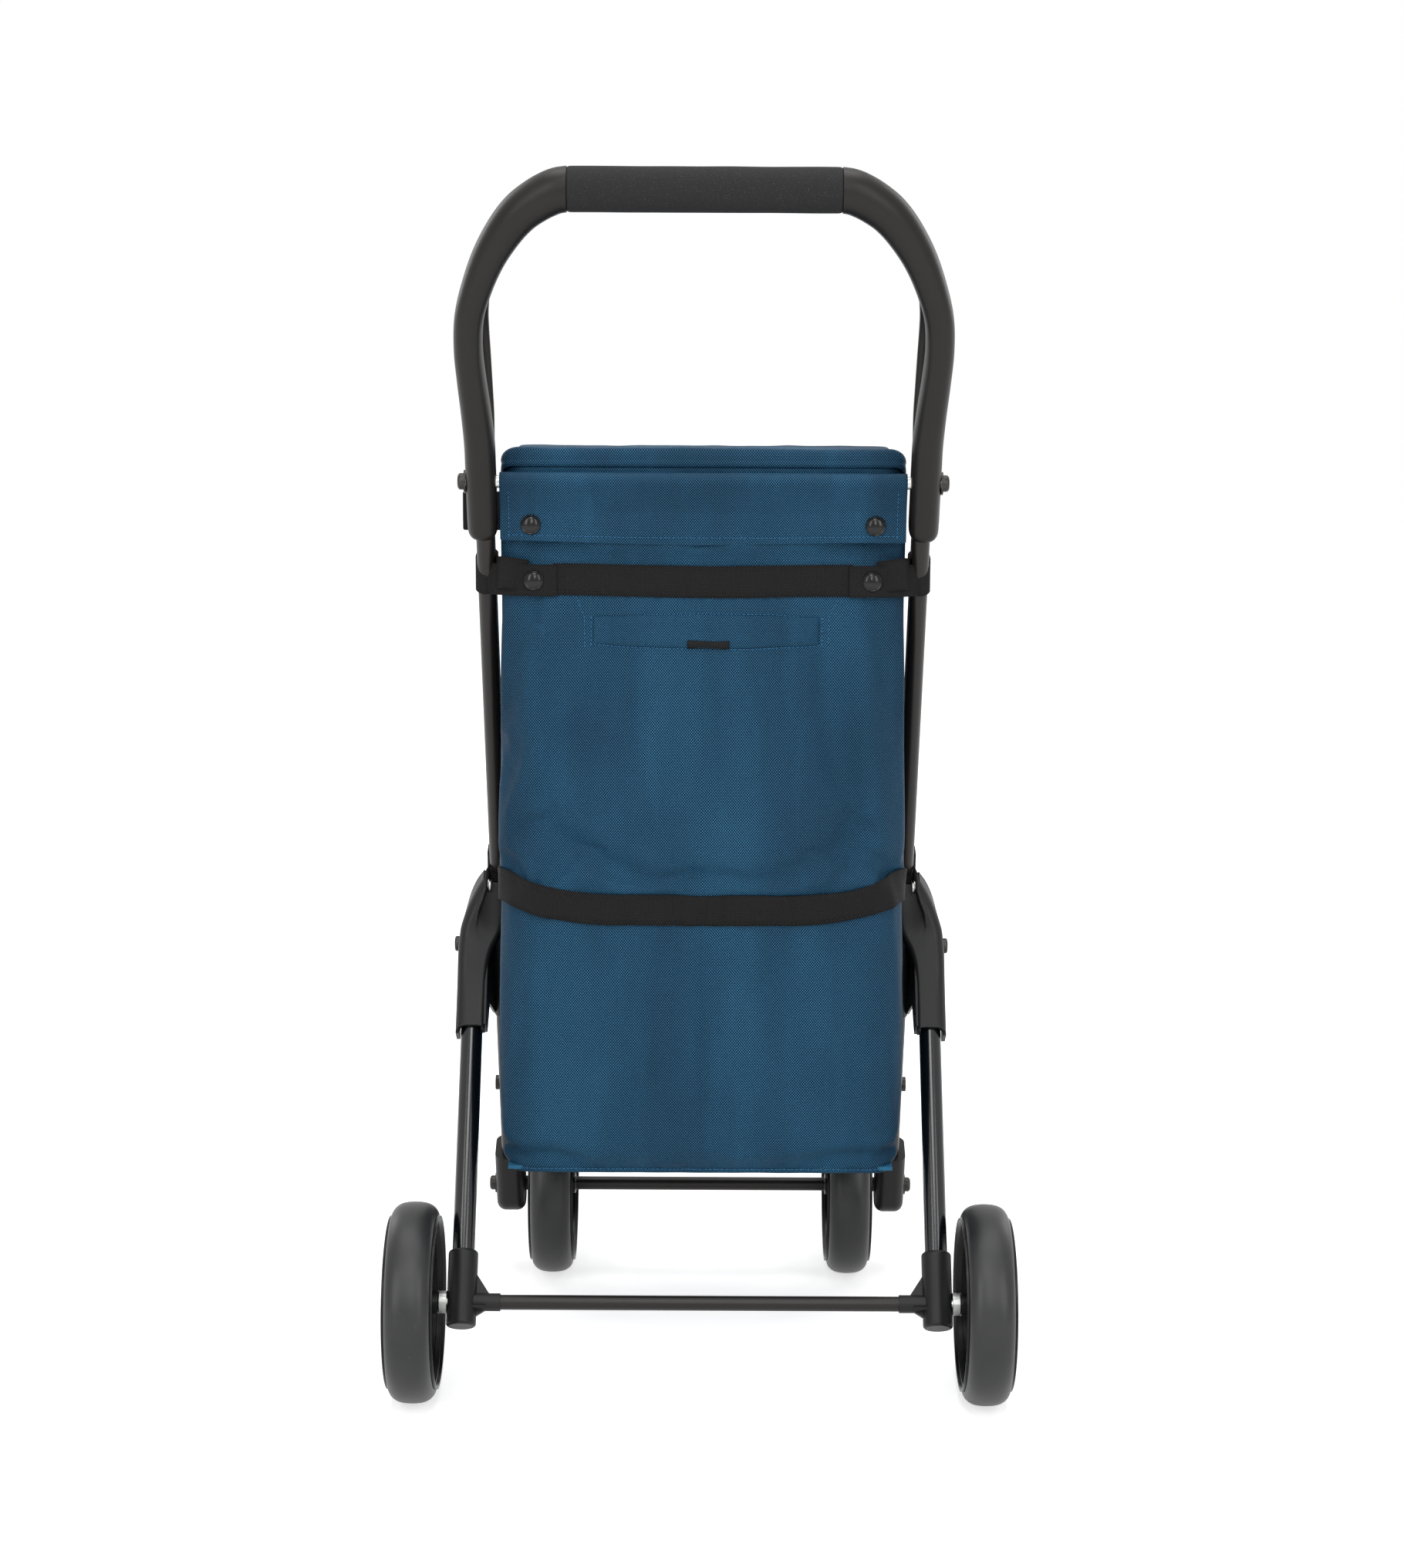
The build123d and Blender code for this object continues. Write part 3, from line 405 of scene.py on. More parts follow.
def seen_directly(tree):
    """A mask for what the eye, a mirror or glass sees: 1 for those rays, 0 for light."""
    path = tree.nodes.new("ShaderNodeLightPath")
    mask = path.outputs["Is Camera Ray"]
    for kind in ("Is Glossy Ray", "Is Transmission Ray"):
        either = tree.nodes.new("ShaderNodeMath")
        either.operation = "MAXIMUM"
        tree.links.new(mask, either.inputs[0])
        tree.links.new(path.outputs[kind], either.inputs[1])
        mask = either.outputs[0]
    return mask


AMBIENT = 0.2
FLOOR_LIFT = 0.62
FLOOR_FADE = (0.45, 1.1)
FLOOR_HALF = 9.0


def set_world():
    world = bpy.data.worlds.new("studio")
    world.use_nodes = True
    tree = world.node_tree
    tree.nodes.clear()
    out = tree.nodes.new("ShaderNodeOutputWorld")
    mix = tree.nodes.new("ShaderNodeMixShader")
    tree.links.new(seen_directly(tree), mix.inputs[0])
    for slot, strength in ((1, AMBIENT), (2, 1.0)):
        glow = tree.nodes.new("ShaderNodeBackground")
        glow.inputs["Color"].default_value = (1.0, 1.0, 1.0, 1.0)
        glow.inputs["Strength"].default_value = strength
        tree.links.new(glow.outputs[0], mix.inputs[slot])
    tree.links.new(mix.outputs[0], out.inputs[0])
    bpy.context.scene.world = world


def set_floor():
    paint = Paint("studio_floor")
    paint.finish((0.86, 0.86, 0.86, 1.0), 0.9, specular_ior_level=0.0)
    off = paint.node("ShaderNodeVectorMath", {"operation": "LENGTH"}, (paint.place(),), output="Value")
    far = off.step(*FLOOR_FADE)
    lift = tuple([FLOOR_LIFT] * 3) + (1.0,)
    paint.put(paint.skin.inputs["Emission Color"], paint.blend(far, lift, (1.0, 1.0, 1.0, 1.0)))
    paint.put(paint.skin.inputs["Emission Strength"], Wire(paint, seen_directly(paint.tree)))
    mesh = bpy.data.meshes.new("studio_floor")
    corners = [(x * FLOOR_HALF, y * FLOOR_HALF, 0) for x, y in ((-1, -1), (1, -1), (1, 1), (-1, 1))]
    mesh.from_pydata(corners, [], [(0, 1, 2, 3)])
    mesh.materials.append(paint.material)
    floor = in_scene("studio_floor", mesh)


LAMPS = {
    "left_box": ((-1.75, -2.5, 1.7), (0.8, 2.2), 31.0),
    "right_box": ((1.75, -2.5, 1.7), (0.8, 2.2), 29.0),
    "high_box": ((-0.1, -1.9, 3.0), (1.0, 1.0), 20.0),
    "front_strip": ((0.12, -3.1, 1.9), (0.16, 1.6), 18.0),
    "top_box": ((0.0, 0.1, 2.9), (2.0, 1.6), 34.0),
    "back_left_box": ((-2.2, 2.2, 1.9), (1.0, 2.0), 16.0),
    "back_right_box": ((2.2, 2.2, 1.9), (1.0, 2.0), 16.0),
}
AIM = Vector((0.0, 0.0, 0.48))


def set_lamps():
    for name, (at, size, power) in LAMPS.items():
        light = bpy.data.lights.new(name, "AREA")
        light.shape = "RECTANGLE"
        light.size, light.size_y = size
        light.energy = power
        lamp = in_scene(name, light)
        lamp.location = at
        lamp.rotation_euler = (AIM - Vector(at)).to_track_quat("-Z", "Y").to_euler()


bpy.context.scene.view_settings.view_transform = "Standard"
set_camera()
set_world()
set_floor()
set_lamps()


# ---------------------------------------------------------------- making meshes
CLOTH_SKIN = 1.2 * MM
USER_SIDE = -0.5
RIBBON_ACROSS = 6
SEAM_STEP = 4 * MM


def shown(name, mesh, paint, body=None):
    """A smooth-shaded object of a mesh, with its finish; it rides on a body where one is named."""
    mesh.polygons.foreach_set("use_smooth", [True] * len(mesh.polygons))
    mesh.materials.clear()
    mesh.materials.append(paint)
    made = in_scene(name, mesh)
    if body:
        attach(made, body)
    return made


def tidy_normals(mesh, sharp_from=None):
    """Merges doubles, turns faces outwards and marks the edges sharper than an angle."""
    work = bmesh.new()
    work.from_mesh(mesh)
    bmesh.ops.remove_doubles(work, verts=work.verts, dist=1e-6)
    bmesh.ops.recalc_face_normals(work, faces=work.faces)
    work.to_mesh(mesh)
    work.free()
    if sharp_from:
        mesh.set_sharp_from_angle(angle=math.radians(sharp_from))
    return mesh


def steps_along(points):
    """Distances along a line of points, from 0."""
    along = [0.0]
    for start, end in zip(points, points[1:]):
        along.append(along[-1] + (end - start).length)
    return along


def sheet_mesh(name, rows, closed=False):
    """A quad sheet through rows of points, with a UV map in metres of cloth."""
    count = len(rows[0])
    guide = rows[len(rows) // 2]
    u = steps_along([*guide, guide[0]])
    v = steps_along([row[count // 2] for row in rows])
    faces, corners = [], []
    for r in range(len(rows) - 1):
        for c in range(count if closed else count - 1):
            d = (c + 1) % count
            faces.append((r * count + c, (r + 1) * count + c, (r + 1) * count + d, r * count + d))
            for across, down in ((c, r), (c, r + 1), (c + 1, r + 1), (c + 1, r)):
                corners += [u[across], v[down]]
    mesh = bpy.data.meshes.new(name)
    mesh.from_pydata([point for row in rows for point in row], [], faces)
    mesh.uv_layers.new(name="cloth").data.foreach_set("uv", corners)
    return mesh


def through(points, count):
    """A smooth line (Catmull-Rom) through given points, as count + 1 even steps."""
    ends = [points[0] * 2 - points[1], *points, points[-1] * 2 - points[-2]]
    fine = []
    for i in range(1, len(ends) - 2):
        a, b, c, d = ends[i - 1:i + 3]
        for step in range(24):
            t = step / 24
            fine.append(0.5 * (2 * b + t * (c - a) + t * t * (2 * a - 5 * b + 4 * c - d)
                               + t ** 3 * (3 * b - 3 * c + d - a)))
    fine.append(points[-1])
    return evenly(fine, count)


def evenly(line, count):
    """A line of points cut again into count even steps."""
    along = steps_along(line)
    made, at = [], 0
    for step in range(count + 1):
        want = along[-1] * step / count
        while at < len(line) - 2 and along[at + 1] < want:
            at += 1
        share = (want - along[at]) / max(along[at + 1] - along[at], 1e-9)
        made.append(line[at].lerp(line[at + 1], min(share, 1.0)))
    return made


def rounded_ring(half, back, front, radius, z_of, count):
    """A rounded rectangle about the bag, from the middle of its back towards +X, as even steps."""
    line = [Vector((0, back))]
    for x, y, start in ((half - radius, back + radius, -90), (half - radius, front - radius, 0),
                        (radius - half, front - radius, 90), (radius - half, back + radius, 180)):
        for step in range(7):
            turn = math.radians(start + 15 * step)
            line.append(Vector((x + radius * math.cos(turn), y + radius * math.sin(turn))))
    line.append(Vector((0, back)))
    return [Vector((p.x, p.y, z_of(p.y))) for p in evenly(line, count)[:-1]]


def thicken(made, thickness, offset=-1.0):
    """Gives a sheet its thickness."""
    wall = made.modifiers.new("thickness", "SOLIDIFY")
    wall.thickness = thickness
    wall.offset = offset
    wall.use_even_offset = True
    return made


def soften(made):
    """Makes a coarse mesh finer and smoother."""
    finer = made.modifiers.new("finer", "SUBSURF")
    finer.levels = finer.render_levels = 1
    return made


def grid(down, across, point):
    """Rows of points, asked for at even shares from 0 to 1 down and across."""
    return [[point(r / down, c / across) for c in range(across + 1)] for r in range(down + 1)]


def panel(name, rows, paint, body, thickness=CLOTH_SKIN, offset=-1.0):
    """A sewn panel through rows of points, smoothed and given its thickness."""
    return thicken(soften(shown(name, sheet_mesh(name, rows), paint, body)), thickness, offset)


def evaluated_mesh(made):
    """The mesh of an object with its modifiers applied, as a plain mesh."""
    bpy.context.view_layer.update()
    graph = bpy.context.evaluated_depsgraph_get()
    return bpy.data.meshes.new_from_object(made.evaluated_get(graph))


def lathe(name, profile, at, side, paint, body, steps=96, sharp_from=35):
    """A piece turned about a line along X: profile holds (distance outwards, radius) in mm."""
    rows = [[Vector((at.x + side * out * MM, at.y + radius * MM * c, at.z + radius * MM * s))
             for c, s in turns(steps)] for out, radius in profile]
    mesh = sheet_mesh(name, rows + rows[:1], closed=True)
    return shown(name, tidy_normals(mesh, sharp_from), paint, body)


def swept(name, rings, sharp_from=None):
    """A closed skin over rings of points, capped at both ends."""
    count = len(rings[0])
    points = [p for ring in rings for p in ring]
    faces = []
    for r in range(len(rings) - 1):
        for c in range(count):
            d = (c + 1) % count
            faces.append((r * count + c, r * count + d, (r + 1) * count + d, (r + 1) * count + c))
    faces.append(tuple(range(count)))
    faces.append(tuple(range(len(points) - count, len(points))))
    mesh = bpy.data.meshes.new(name)
    mesh.from_pydata(points, [], faces)
    return tidy_normals(mesh, sharp_from)


def ribbon(name, centres, edge_ways, width, thickness):
    """A webbing strap: centres are its middle line, edge_ways the directions of its width there."""
    rows = []
    for step in range(RIBBON_ACROSS + 1):
        share = (step / RIBBON_ACROSS - 0.5) * width
        rows.append([centre + way.normalized() * share for centre, way in zip(centres, edge_ways)])
    return thicken(shown(name, sheet_mesh(name, rows), WEBBING, "frame"), thickness, 0.0)


def skin_tree(made):
    """A search tree over an object's present surface."""
    mesh = evaluated_mesh(made)
    return BVHTree.FromPolygons([v.co.copy() for v in mesh.vertices],
                                [p.vertices[:] for p in mesh.polygons])


def from_behind(skin, x, z):
    """Where a skin is first met from the user's side at a place across and up, or None."""
    return skin.ray_cast(Vector((x, USER_SIDE, z)), Vector((0, 1, 0)))[0]


def seam_on(skin, corners, lift):
    """A line over the rear of a skin through (across, height) corners, stood off by a lift."""
    line = []
    for (x0, z0), (x1, z1) in zip(corners, corners[1:]):
        count = max(2, int(math.hypot(x1 - x0, z1 - z0) / SEAM_STEP))
        for i in range(count + 1):
            x, z = x0 + i / count * (x1 - x0), z0 + i / count * (z1 - z0)
            hit = from_behind(skin, x, z)
            if hit:
                line.append(Vector((x, hit.y - lift, z)))
    return line


# ---------------------------------------------------------------- bag shell
SHELL_AROUND = 224
SHELL_DOWN = 104
SHELL_SLACK = 0.022
SHELL_STIFFNESS = 14.0
SHELL_PRESSURE = 0.35
SHELL_CAP = 9 * MM
SHELL_FRAMES = 26
STRAP_Z = middle("upper_strap").z
WEBBING_W = 25 * MM
LOWER_STRAP_Z = 393.5 * MM
# half widths of the bag seen from behind, (height, half width) in mm
BAG_SIDES = [(174, 154), (186, 160), (219, 163.5), (283, 164.5), (388, 162), (441, 162),
             (560, 159.5), (640, 157.5), (700, 158), (746, 157.5)]
BULGE_BACK = 7 * MM
BULGE_FRONT = 12 * MM
SIDE_SWELL = 1.8 * MM


def bag_half_at(z):
    """Half width of the bag at a height."""
    level = z / MM
    for (z0, w0), (z1, w1) in zip(BAG_SIDES, BAG_SIDES[1:]):
        if level <= z1:
            return (w0 + ease((level - z0) / (z1 - z0)) * (w1 - w0)) * MM
    return BAG_SIDES[-1][1] * MM


def foot_at(y):
    """Height of the bag's sloping underside."""
    share = (y - BAG_BACK) / (BAG_FRONT - BAG_BACK)
    return BAG_FOOT + share * (BAG_FRONT_FOOT - BAG_FOOT)


def swell(share):
    """How far a wall bellies out at a share of its height, from 0 at the foot to 1 at the top."""
    return math.sin(math.pi * min(share * 1.15, 1.0)) ** 0.8 if 0 < share < 0.87 else 0.0


def shell_rows():
    rows = []
    for step in range(SHELL_DOWN + 1):
        share = 1 - step / SHELL_DOWN
        z = BAG_FOOT + share * (BAG_TOP - BAG_FOOT)
        tuck = max(0.0, 1 - share / 0.045)
        back = BAG_BACK - BULGE_BACK * 0.4 * swell(share) + 2.5 * MM * tuck
        front = BAG_FRONT + BULGE_FRONT * swell(share) - 8 * MM * (share > 0.97) - 4 * MM * tuck
        radius = (16 + 14 * swell(share)) * MM
        rows.append(rounded_ring(bag_half_at(z), back, front, radius,
                                 lambda y: foot_at(y) + share * (BAG_TOP - foot_at(y)), SHELL_AROUND))
    return rows


def hold_weight(point):
    """How firmly the shell is held at a point: by its top and foot seams and under the straps."""
    x, y, z = point
    if z > BAG_TOP - 4 * MM or z < foot_at(y) + 5 * MM:
        return 1.0
    behind = y < BAG_BACK + 6 * MM
    if behind and abs(z - STRAP_Z) < WEBBING_W / 2 and abs(x) < 120 * MM:
        return 0.7
    if y < BAG_BACK + 60 * MM and abs(z - LOWER_STRAP_Z) < WEBBING_W / 2:
        return 0.55
    corner = min(abs(abs(x) - bag_half_at(z)), 20 * MM) < 4 * MM and (behind or y > BAG_FRONT - 10 * MM)
    return 0.12 if corner else 0.0


def settle(made):
    """Runs the cloth simulation on an object and gives back the settled points."""
    cloth = made.modifiers.new("cloth", "CLOTH")
    rules = cloth.settings
    rules.quality = 7
    rules.mass = 0.02
    rules.tension_stiffness = rules.compression_stiffness = SHELL_STIFFNESS
    rules.shear_stiffness = SHELL_STIFFNESS * 0.35
    rules.bending_stiffness = 1.2
    rules.air_damping = 2.0
    rules.vertex_group_mass = "held"
    rules.shrink_min = -SHELL_SLACK
    rules.use_pressure = True
    rules.uniform_pressure_force = SHELL_PRESSURE
    cloth.collision_settings.use_collision = False
    cloth.point_cache.frame_end = SHELL_FRAMES
    for step in range(1, SHELL_FRAMES + 1):
        bpy.context.scene.frame_set(step)
    settled = [vertex.co.copy() for vertex in evaluated_mesh(made).vertices]
    made.modifiers.remove(cloth)
    bpy.context.scene.frame_set(1)
    return settled


def tube_room(y, z):
    """The half width that the main tubes and their sleeves leave free for the cloth."""
    along = (z - AXLE.z) / math.cos(LEAN)
    off = abs(y - on_tube(0, along).y)
    clear = TUBE_X - TUBE_W / 2 - 3.6 * MM
    t = clamp((off / MM - 22) / 30)
    return clear + t * t * 9 * MM


# creases pressed into the back by folding: points (x, height) in mm, height of the ridge, its half width
CREASES = [
    ([(1, 512), (0, 470), (-1, 404)], 1.9, 3.2),
    ([(-2, 372), (-3, 300), (-4, 222)], 1.8, 3.2),
    ([(26, 567), (14, 540), (2, 514)], 2.1, 3.6),
    ([(26, 567), (34, 592), (29, 600)], 0.6, 3.0),
    ([(-52, 262), (-30, 248), (-18, 226)], 0.7, 3.0),
    ([(38, 300), (58, 262), (60, 226)], 0.6, 3.5),
    ([(-60, 214), (-44, 240), (-20, 252)], 0.6, 3.0),
    ([(60, 470), (96, 452)], 0.5, 2.5),
    ([(-118, 350), (-142, 296)], 0.9, 6.0),
    ([(112, 352), (140, 300)], 0.9, 6.0),
]
# broad dents in the back: (across, height, how proud, reach) in mm
DENTS = [(-70, 500, -3.4, 46), (66, 470, 3.6, 40), (-40, 300, 2.4, 40), (70, 330, -2.8, 36),
         (10, 420, 2.2, 40)]


def crease_relief(x, z):
    """Relief of the back's pressed creases at a point, in metres."""
    x, z = x / MM, z / MM
    lift = 0.0
    for points, height, half in CREASES:
        for (x0, z0), (x1, z1) in zip(points, points[1:]):
            run = (x1 - x0) ** 2 + (z1 - z0) ** 2
            t = clamp(((x - x0) * (x1 - x0) + (z - z0) * (z1 - z0)) / run)
            off = math.hypot(x - x0 - t * (x1 - x0), z - z0 - t * (z1 - z0))
            lift = max(lift, height * math.exp(-(off / half) ** 2), key=abs)
    for x0, z0, depth, reach in DENTS:
        lift += depth * math.exp(-((x - x0) ** 2 + ((z - z0) * 0.7) ** 2) / reach ** 2)
    return lift * MM


def make_shell():
    mesh = sheet_mesh("bag_shell", shell_rows(), closed=True)
    shell = shown("bag_shell", mesh, CLOTH)
    start = [vertex.co.copy() for vertex in mesh.vertices]
    held = shell.vertex_groups.new(name="held")
    for index, point in enumerate(start):
        held.add([index], hold_weight(point), "REPLACE")
    settled = settle(shell)
    shell.vertex_groups.remove(held)
    for vertex, before, after in zip(mesh.vertices, start, settled):
        move = after - before
        if move.length > SHELL_CAP:
            move *= SHELL_CAP / move.length
        point = before + move
        x, y, z = point
        if y < BAG_BACK + 12 * MM:
            point.y -= crease_relief(x, z)
        crinkle = noise.noise(Vector((x * 60, y * 60, z * 42))) + 0.5 * noise.noise(point * 150)
        at_side = abs(x) > bag_half_at(z) - 8 * MM
        away = Vector((x, 0, 0)).normalized() if at_side else Vector((0, (y > 0) * 2 - 1, 0))
        free = clamp((BAG_TOP - z) / (30 * MM))
        point += away * crinkle * 0.35 * MM * free
        widest = min(tube_room(point.y, point.z), bag_half_at(point.z) + SIDE_SWELL)
        point.x = math.copysign(min(abs(point.x), widest), point.x)
        vertex.co = point
    mesh.update()
    return shell


SHELL = make_shell()


SHELL_SKIN = skin_tree(SHELL)


def behind_shell(x, z, lift=0.0):
    """A point on the bag's back, seen from the user's side, stood off by a lift."""
    hit = from_behind(SHELL_SKIN, x, z)
    return Vector((x, (hit.y if hit else BAG_BACK) - lift, z))


def round_shell(turn, z, lift):
    """A point on the bag's wall at a turn from straight behind, stood off outwards by a lift."""
    way = Vector((math.sin(turn), -math.cos(turn), 0))
    hit, out = SHELL_SKIN.ray_cast(Vector((0, (BAG_BACK + BAG_FRONT) / 2, z)), way)[:2]
    out = Vector((out.x, out.y, 0)).normalized()
    return hit + out * (lift if out.dot(way) > 0 else -lift)


def finish_shell():
    thicken(soften(SHELL), CLOTH_SKIN)
    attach(SHELL, "frame")
    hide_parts("bag_back_panel", "bag_front_panel", "bag_side_panel_left", "bag_side_panel_right")


finish_shell()


# ---------------------------------------------------------------- stitches
THREAD_GAP = 3.3 * MM
THREAD_SHARE = 0.7
THREAD_R = 0.32 * MM


def geometry_tree(name, inputs, result):
    """A geometry-nodes tree with its sockets, and node(), which adds a node and gives its outputs."""
    tree = bpy.data.node_groups.new(name, "GeometryNodeTree")
    for label, kind in inputs.items():
        tree.interface.new_socket(label, in_out="INPUT", socket_type="NodeSocket" + kind)
    tree.interface.new_socket(result, in_out="OUTPUT", socket_type="NodeSocketGeometry")

    def node(kind, values=None, **settings):
        made = tree.nodes.new(kind)
        for key, value in settings.items():
            setattr(made, key, value)
        for key, value in (values or {}).items():
            if isinstance(value, bpy.types.NodeSocket):
                tree.links.new(value, made.inputs[key])
            else:
                made.inputs[key].default_value = value
        return made.outputs

    return tree, node


def instances(node, given, points, instance, paint, **values):
    """Ends a tree: an instance at every point, made real and given the material of an input."""
    set_out = node("GeometryNodeInstanceOnPoints", {"Points": points, "Instance": instance, **values})
    real = node("GeometryNodeRealizeInstances", {0: set_out[0]})
    painted = node("GeometryNodeSetMaterial", {"Geometry": real[0], "Material": given[paint]})
    node("NodeGroupOutput", {0: painted[0]})


def grown(name, mesh, tree, values):
    """The mesh that a geometry-nodes tree makes of a mesh."""
    guide = in_scene(name + "_guide", mesh)
    maker = guide.modifiers.new("grown", "NODES")
    maker.node_group = tree
    for item in tree.interface.items_tree:
        if item.in_out == "INPUT" and item.name in values:
            maker[item.identifier] = values[item.name]
    made = evaluated_mesh(guide)
    bpy.data.objects.remove(guide)
    return made


def stitch_tree():
    """Geometry nodes: short threads laid in a row along every line of the input."""
    tree, node = geometry_tree("stitch_rows", {
        "Lines": "Geometry", "Pitch": "Float", "Length": "Float", "Radius": "Float", "Thread": "Material",
    }, "Stitches")
    given = node("NodeGroupInput")
    curve = node("GeometryNodeMeshToCurve", {0: given["Lines"]})
    even = node("GeometryNodeResampleCurve", {"Curve": curve[0], "Length": given["Pitch"]}, mode="LENGTH")
    thread = node("GeometryNodeMeshUVSphere", {"Segments": 6, "Rings": 5, "Radius": 1.0})
    half = node("ShaderNodeMath", {0: given["Length"], 1: 0.5}, operation="MULTIPLY")
    size = node("ShaderNodeCombineXYZ", {"X": given["Radius"], "Y": given["Radius"], "Z": half[0]})
    tangent = node("GeometryNodeInputTangent")
    aim = node("FunctionNodeAlignRotationToVector", {"Vector": tangent[0]}, axis="Z")
    instances(node, given, even[0], thread["Mesh"], "Thread", Rotation=aim[0], Scale=size[0])
    return tree


STITCHES = stitch_tree()


def sew(name, lines, thread, body):
    """Rows of stitches along lines of points, as one plain mesh for a body."""
    points, edges = [], []
    for line in lines:
        first = len(points)
        points += line
        edges += [(first + i, first + i + 1) for i in range(len(line) - 1)]
    mesh = bpy.data.meshes.new(name)
    mesh.from_pydata(points, edges, [])
    sewn = grown(name, mesh, STITCHES, {"Pitch": THREAD_GAP, "Length": THREAD_GAP * THREAD_SHARE,
                                        "Radius": THREAD_R, "Thread": thread})
    return shown(name, sewn, thread, body)


def on_back(corners):
    """A stitch line over the bag's back through (across, height) corners in mm."""
    return seam_on(SHELL_SKIN, [(x * MM, z * MM) for x, z in corners], 0.5 * MM)


# ---------------------------------------------------------------- bag foot and its seam
# the seam's section: (drop below the shell's edge, distance outwards) in mm
FOOT_WELT = [(-4.0, 0.6), (-1.0, 1.2), (1.2, 1.3), (2.2, 0.6), (1.2, -0.4), (-1.0, -0.6)]


def make_foot():
    """The bottom panel and the seam flange that runs round it."""
    half = bag_half_at(BAG_FOOT) - 2.5 * MM

    def floor_point(forward, across):
        y = BAG_BACK + 6 * MM + (BAG_FRONT - BAG_BACK - 12 * MM) * forward
        sag = 2.0 * MM * math.sin(math.pi * forward) * math.sin(math.pi * across)
        return Vector((half * (2 * across - 1), y, foot_at(y) + 0.6 * MM - sag))

    floor = panel("bag_bottom", grid(16, 24, floor_point), CLOTH, "frame", offset=0.0)
    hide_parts("bag_bottom_panel")
    ring = [v.co.copy() for v in SHELL.data.vertices[-SHELL_AROUND:]]
    ring.append(ring[0])
    rows = []
    for drop, out in FOOT_WELT:
        row = []
        for point in ring[:-1]:
            forward = (point.y - 0.005) / (BAG_FRONT - BAG_BACK) * 2
            away = Vector((point.x / BAG_HALF, forward, 0)).normalized()
            wave = 0.4 * MM * noise.noise(point * 40)
            row.append(point + away * (out * MM) - Vector((0, 0, drop * MM + wave)))
        rows.append(row)
    flange = shown("foot_seam", sheet_mesh("foot_seam", rows, closed=True), CLOTH, "frame")
    seam = [p + Vector((0, -2.1 * MM if p.y < BAG_BACK + 20 * MM else 0, 1.2 * MM)) for p in ring]
    behind = [p for p in seam if p.y < BAG_BACK + 14 * MM]
    halves = [[p for p in behind if p.x > 0], [p for p in behind if p.x <= 0][:-1]]
    sew("foot_stitches", halves, BLUE_THREAD, "frame")


make_foot()


# ---------------------------------------------------------------- rod flap
FLAP_HALF = 159 * MM
FLAP_SKIN = 1.3 * MM
ROD_R = 5.4 * MM
SNAP_R = 7.75 * MM
FLAP_SNAP_Z = middle("flap_snap_caps").z
FLAP_FOOT = FLAP_SNAP_Z - 13.0 * MM


def snap_row(node):
    """The places across the bag of a node's two press studs."""
    low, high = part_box(node)
    return [low.x + SNAP_R, high.x - SNAP_R]


FLAP_SNAPS = snap_row("flap_snap_caps")
STRAP_SNAPS = snap_row("strap_snap_caps")


def flap_profile(x):
    """The flap's run at a place across the bag: from its seam, over the rod and down to its hem."""
    reach = ROD_R + FLAP_SKIN
    line = [Vector((x, BAG_BACK + 1 * MM, ROD.z + reach - 0.5 * MM)),
            Vector((x, ROD.y + 3 * MM, ROD.z + reach))]
    for degrees in range(90, 187, 12):
        angle = math.radians(degrees)
        line.append(Vector((x, ROD.y + reach * math.cos(angle), ROD.z + reach * math.sin(angle))))
    sag = 2.6 * MM * math.cos(math.pi * x / (2 * FLAP_HALF)) ** 2
    foot = FLAP_FOOT - sag + 1.2 * MM * noise.noise(Vector((x * 9, 3.1, 0)))
    away = BAG_BACK - 5.0 * MM
    line.append(Vector((x, away - 1.2 * MM, (ROD.z + foot) / 2)))
    line.append(Vector((x, away, foot)))
    return line


def flap_wave(x, z):
    """How far the flap puffs out between the rod, its studs and its hem."""
    share = (ROD.z - z) / (ROD.z - FLAP_FOOT)
    if share <= 0.05:
        return 0.0
    free = math.sin(math.pi * min(share, 1.0) * 0.86)
    for stud in FLAP_SNAPS:
        free *= 1 - 0.75 * math.exp(-((x - stud) / (22 * MM)) ** 2)
    broad = noise.noise(Vector((x * 24, z * 30, 7.7)))
    fine = noise.noise(Vector((x * 60, z * 26, 2.2)))
    return (2.1 * broad + 0.8 * fine) * MM * free


def make_flap():
    columns = []
    for i in range(121):
        line = evenly(flap_profile(FLAP_HALF * (i / 60 - 1)), 34)
        columns.append([p - Vector((0, flap_wave(p.x, p.z), 0)) for p in line])
    flap = panel("rod_flap_cloth", list(zip(*columns)), CLOTH, None, FLAP_SKIN, 0.0)
    skin = skin_tree(flap)
    side = FLAP_HALF - 7 * MM
    hem = FLAP_FOOT + 5 * MM
    dip = hem - 1.8 * MM
    seams = [[(x, ROD.z + 4 * MM), (x, hem - 1 * MM)] for x in (-side, side)]
    seams.append([(-side, hem), (-60 * MM, dip), (60 * MM, dip), (side, hem)])
    below_rod = ROD.z - 7 * MM
    runs = [[p for p in seam_on(skin, seam, 0.35 * MM) if p.z < below_rod] for seam in seams]
    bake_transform(flap)
    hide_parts("rod_loop", "rod_flap")
    sew("flap_stitches", runs, BLUE_THREAD, "rod_flap")
    return skin


FLAP_SKIN_TREE = make_flap()


# ---------------------------------------------------------------- press studs
# a stud's cap: (distance out of the cloth, radius) in mm, and how deep it is pressed in
SNAP_SINK = 0.2
SNAP_PROFILE = [(0.0, 0.0), (0.0, 6.6), (0.5, 7.6), (1.1, 7.85), (1.6, 7.7), (1.9, 7.2), (1.7, 6.8),
                (2.3, 6.2), (3.0, 4.8), (3.5, 3.0), (3.75, 1.2), (3.8, 0.0)]


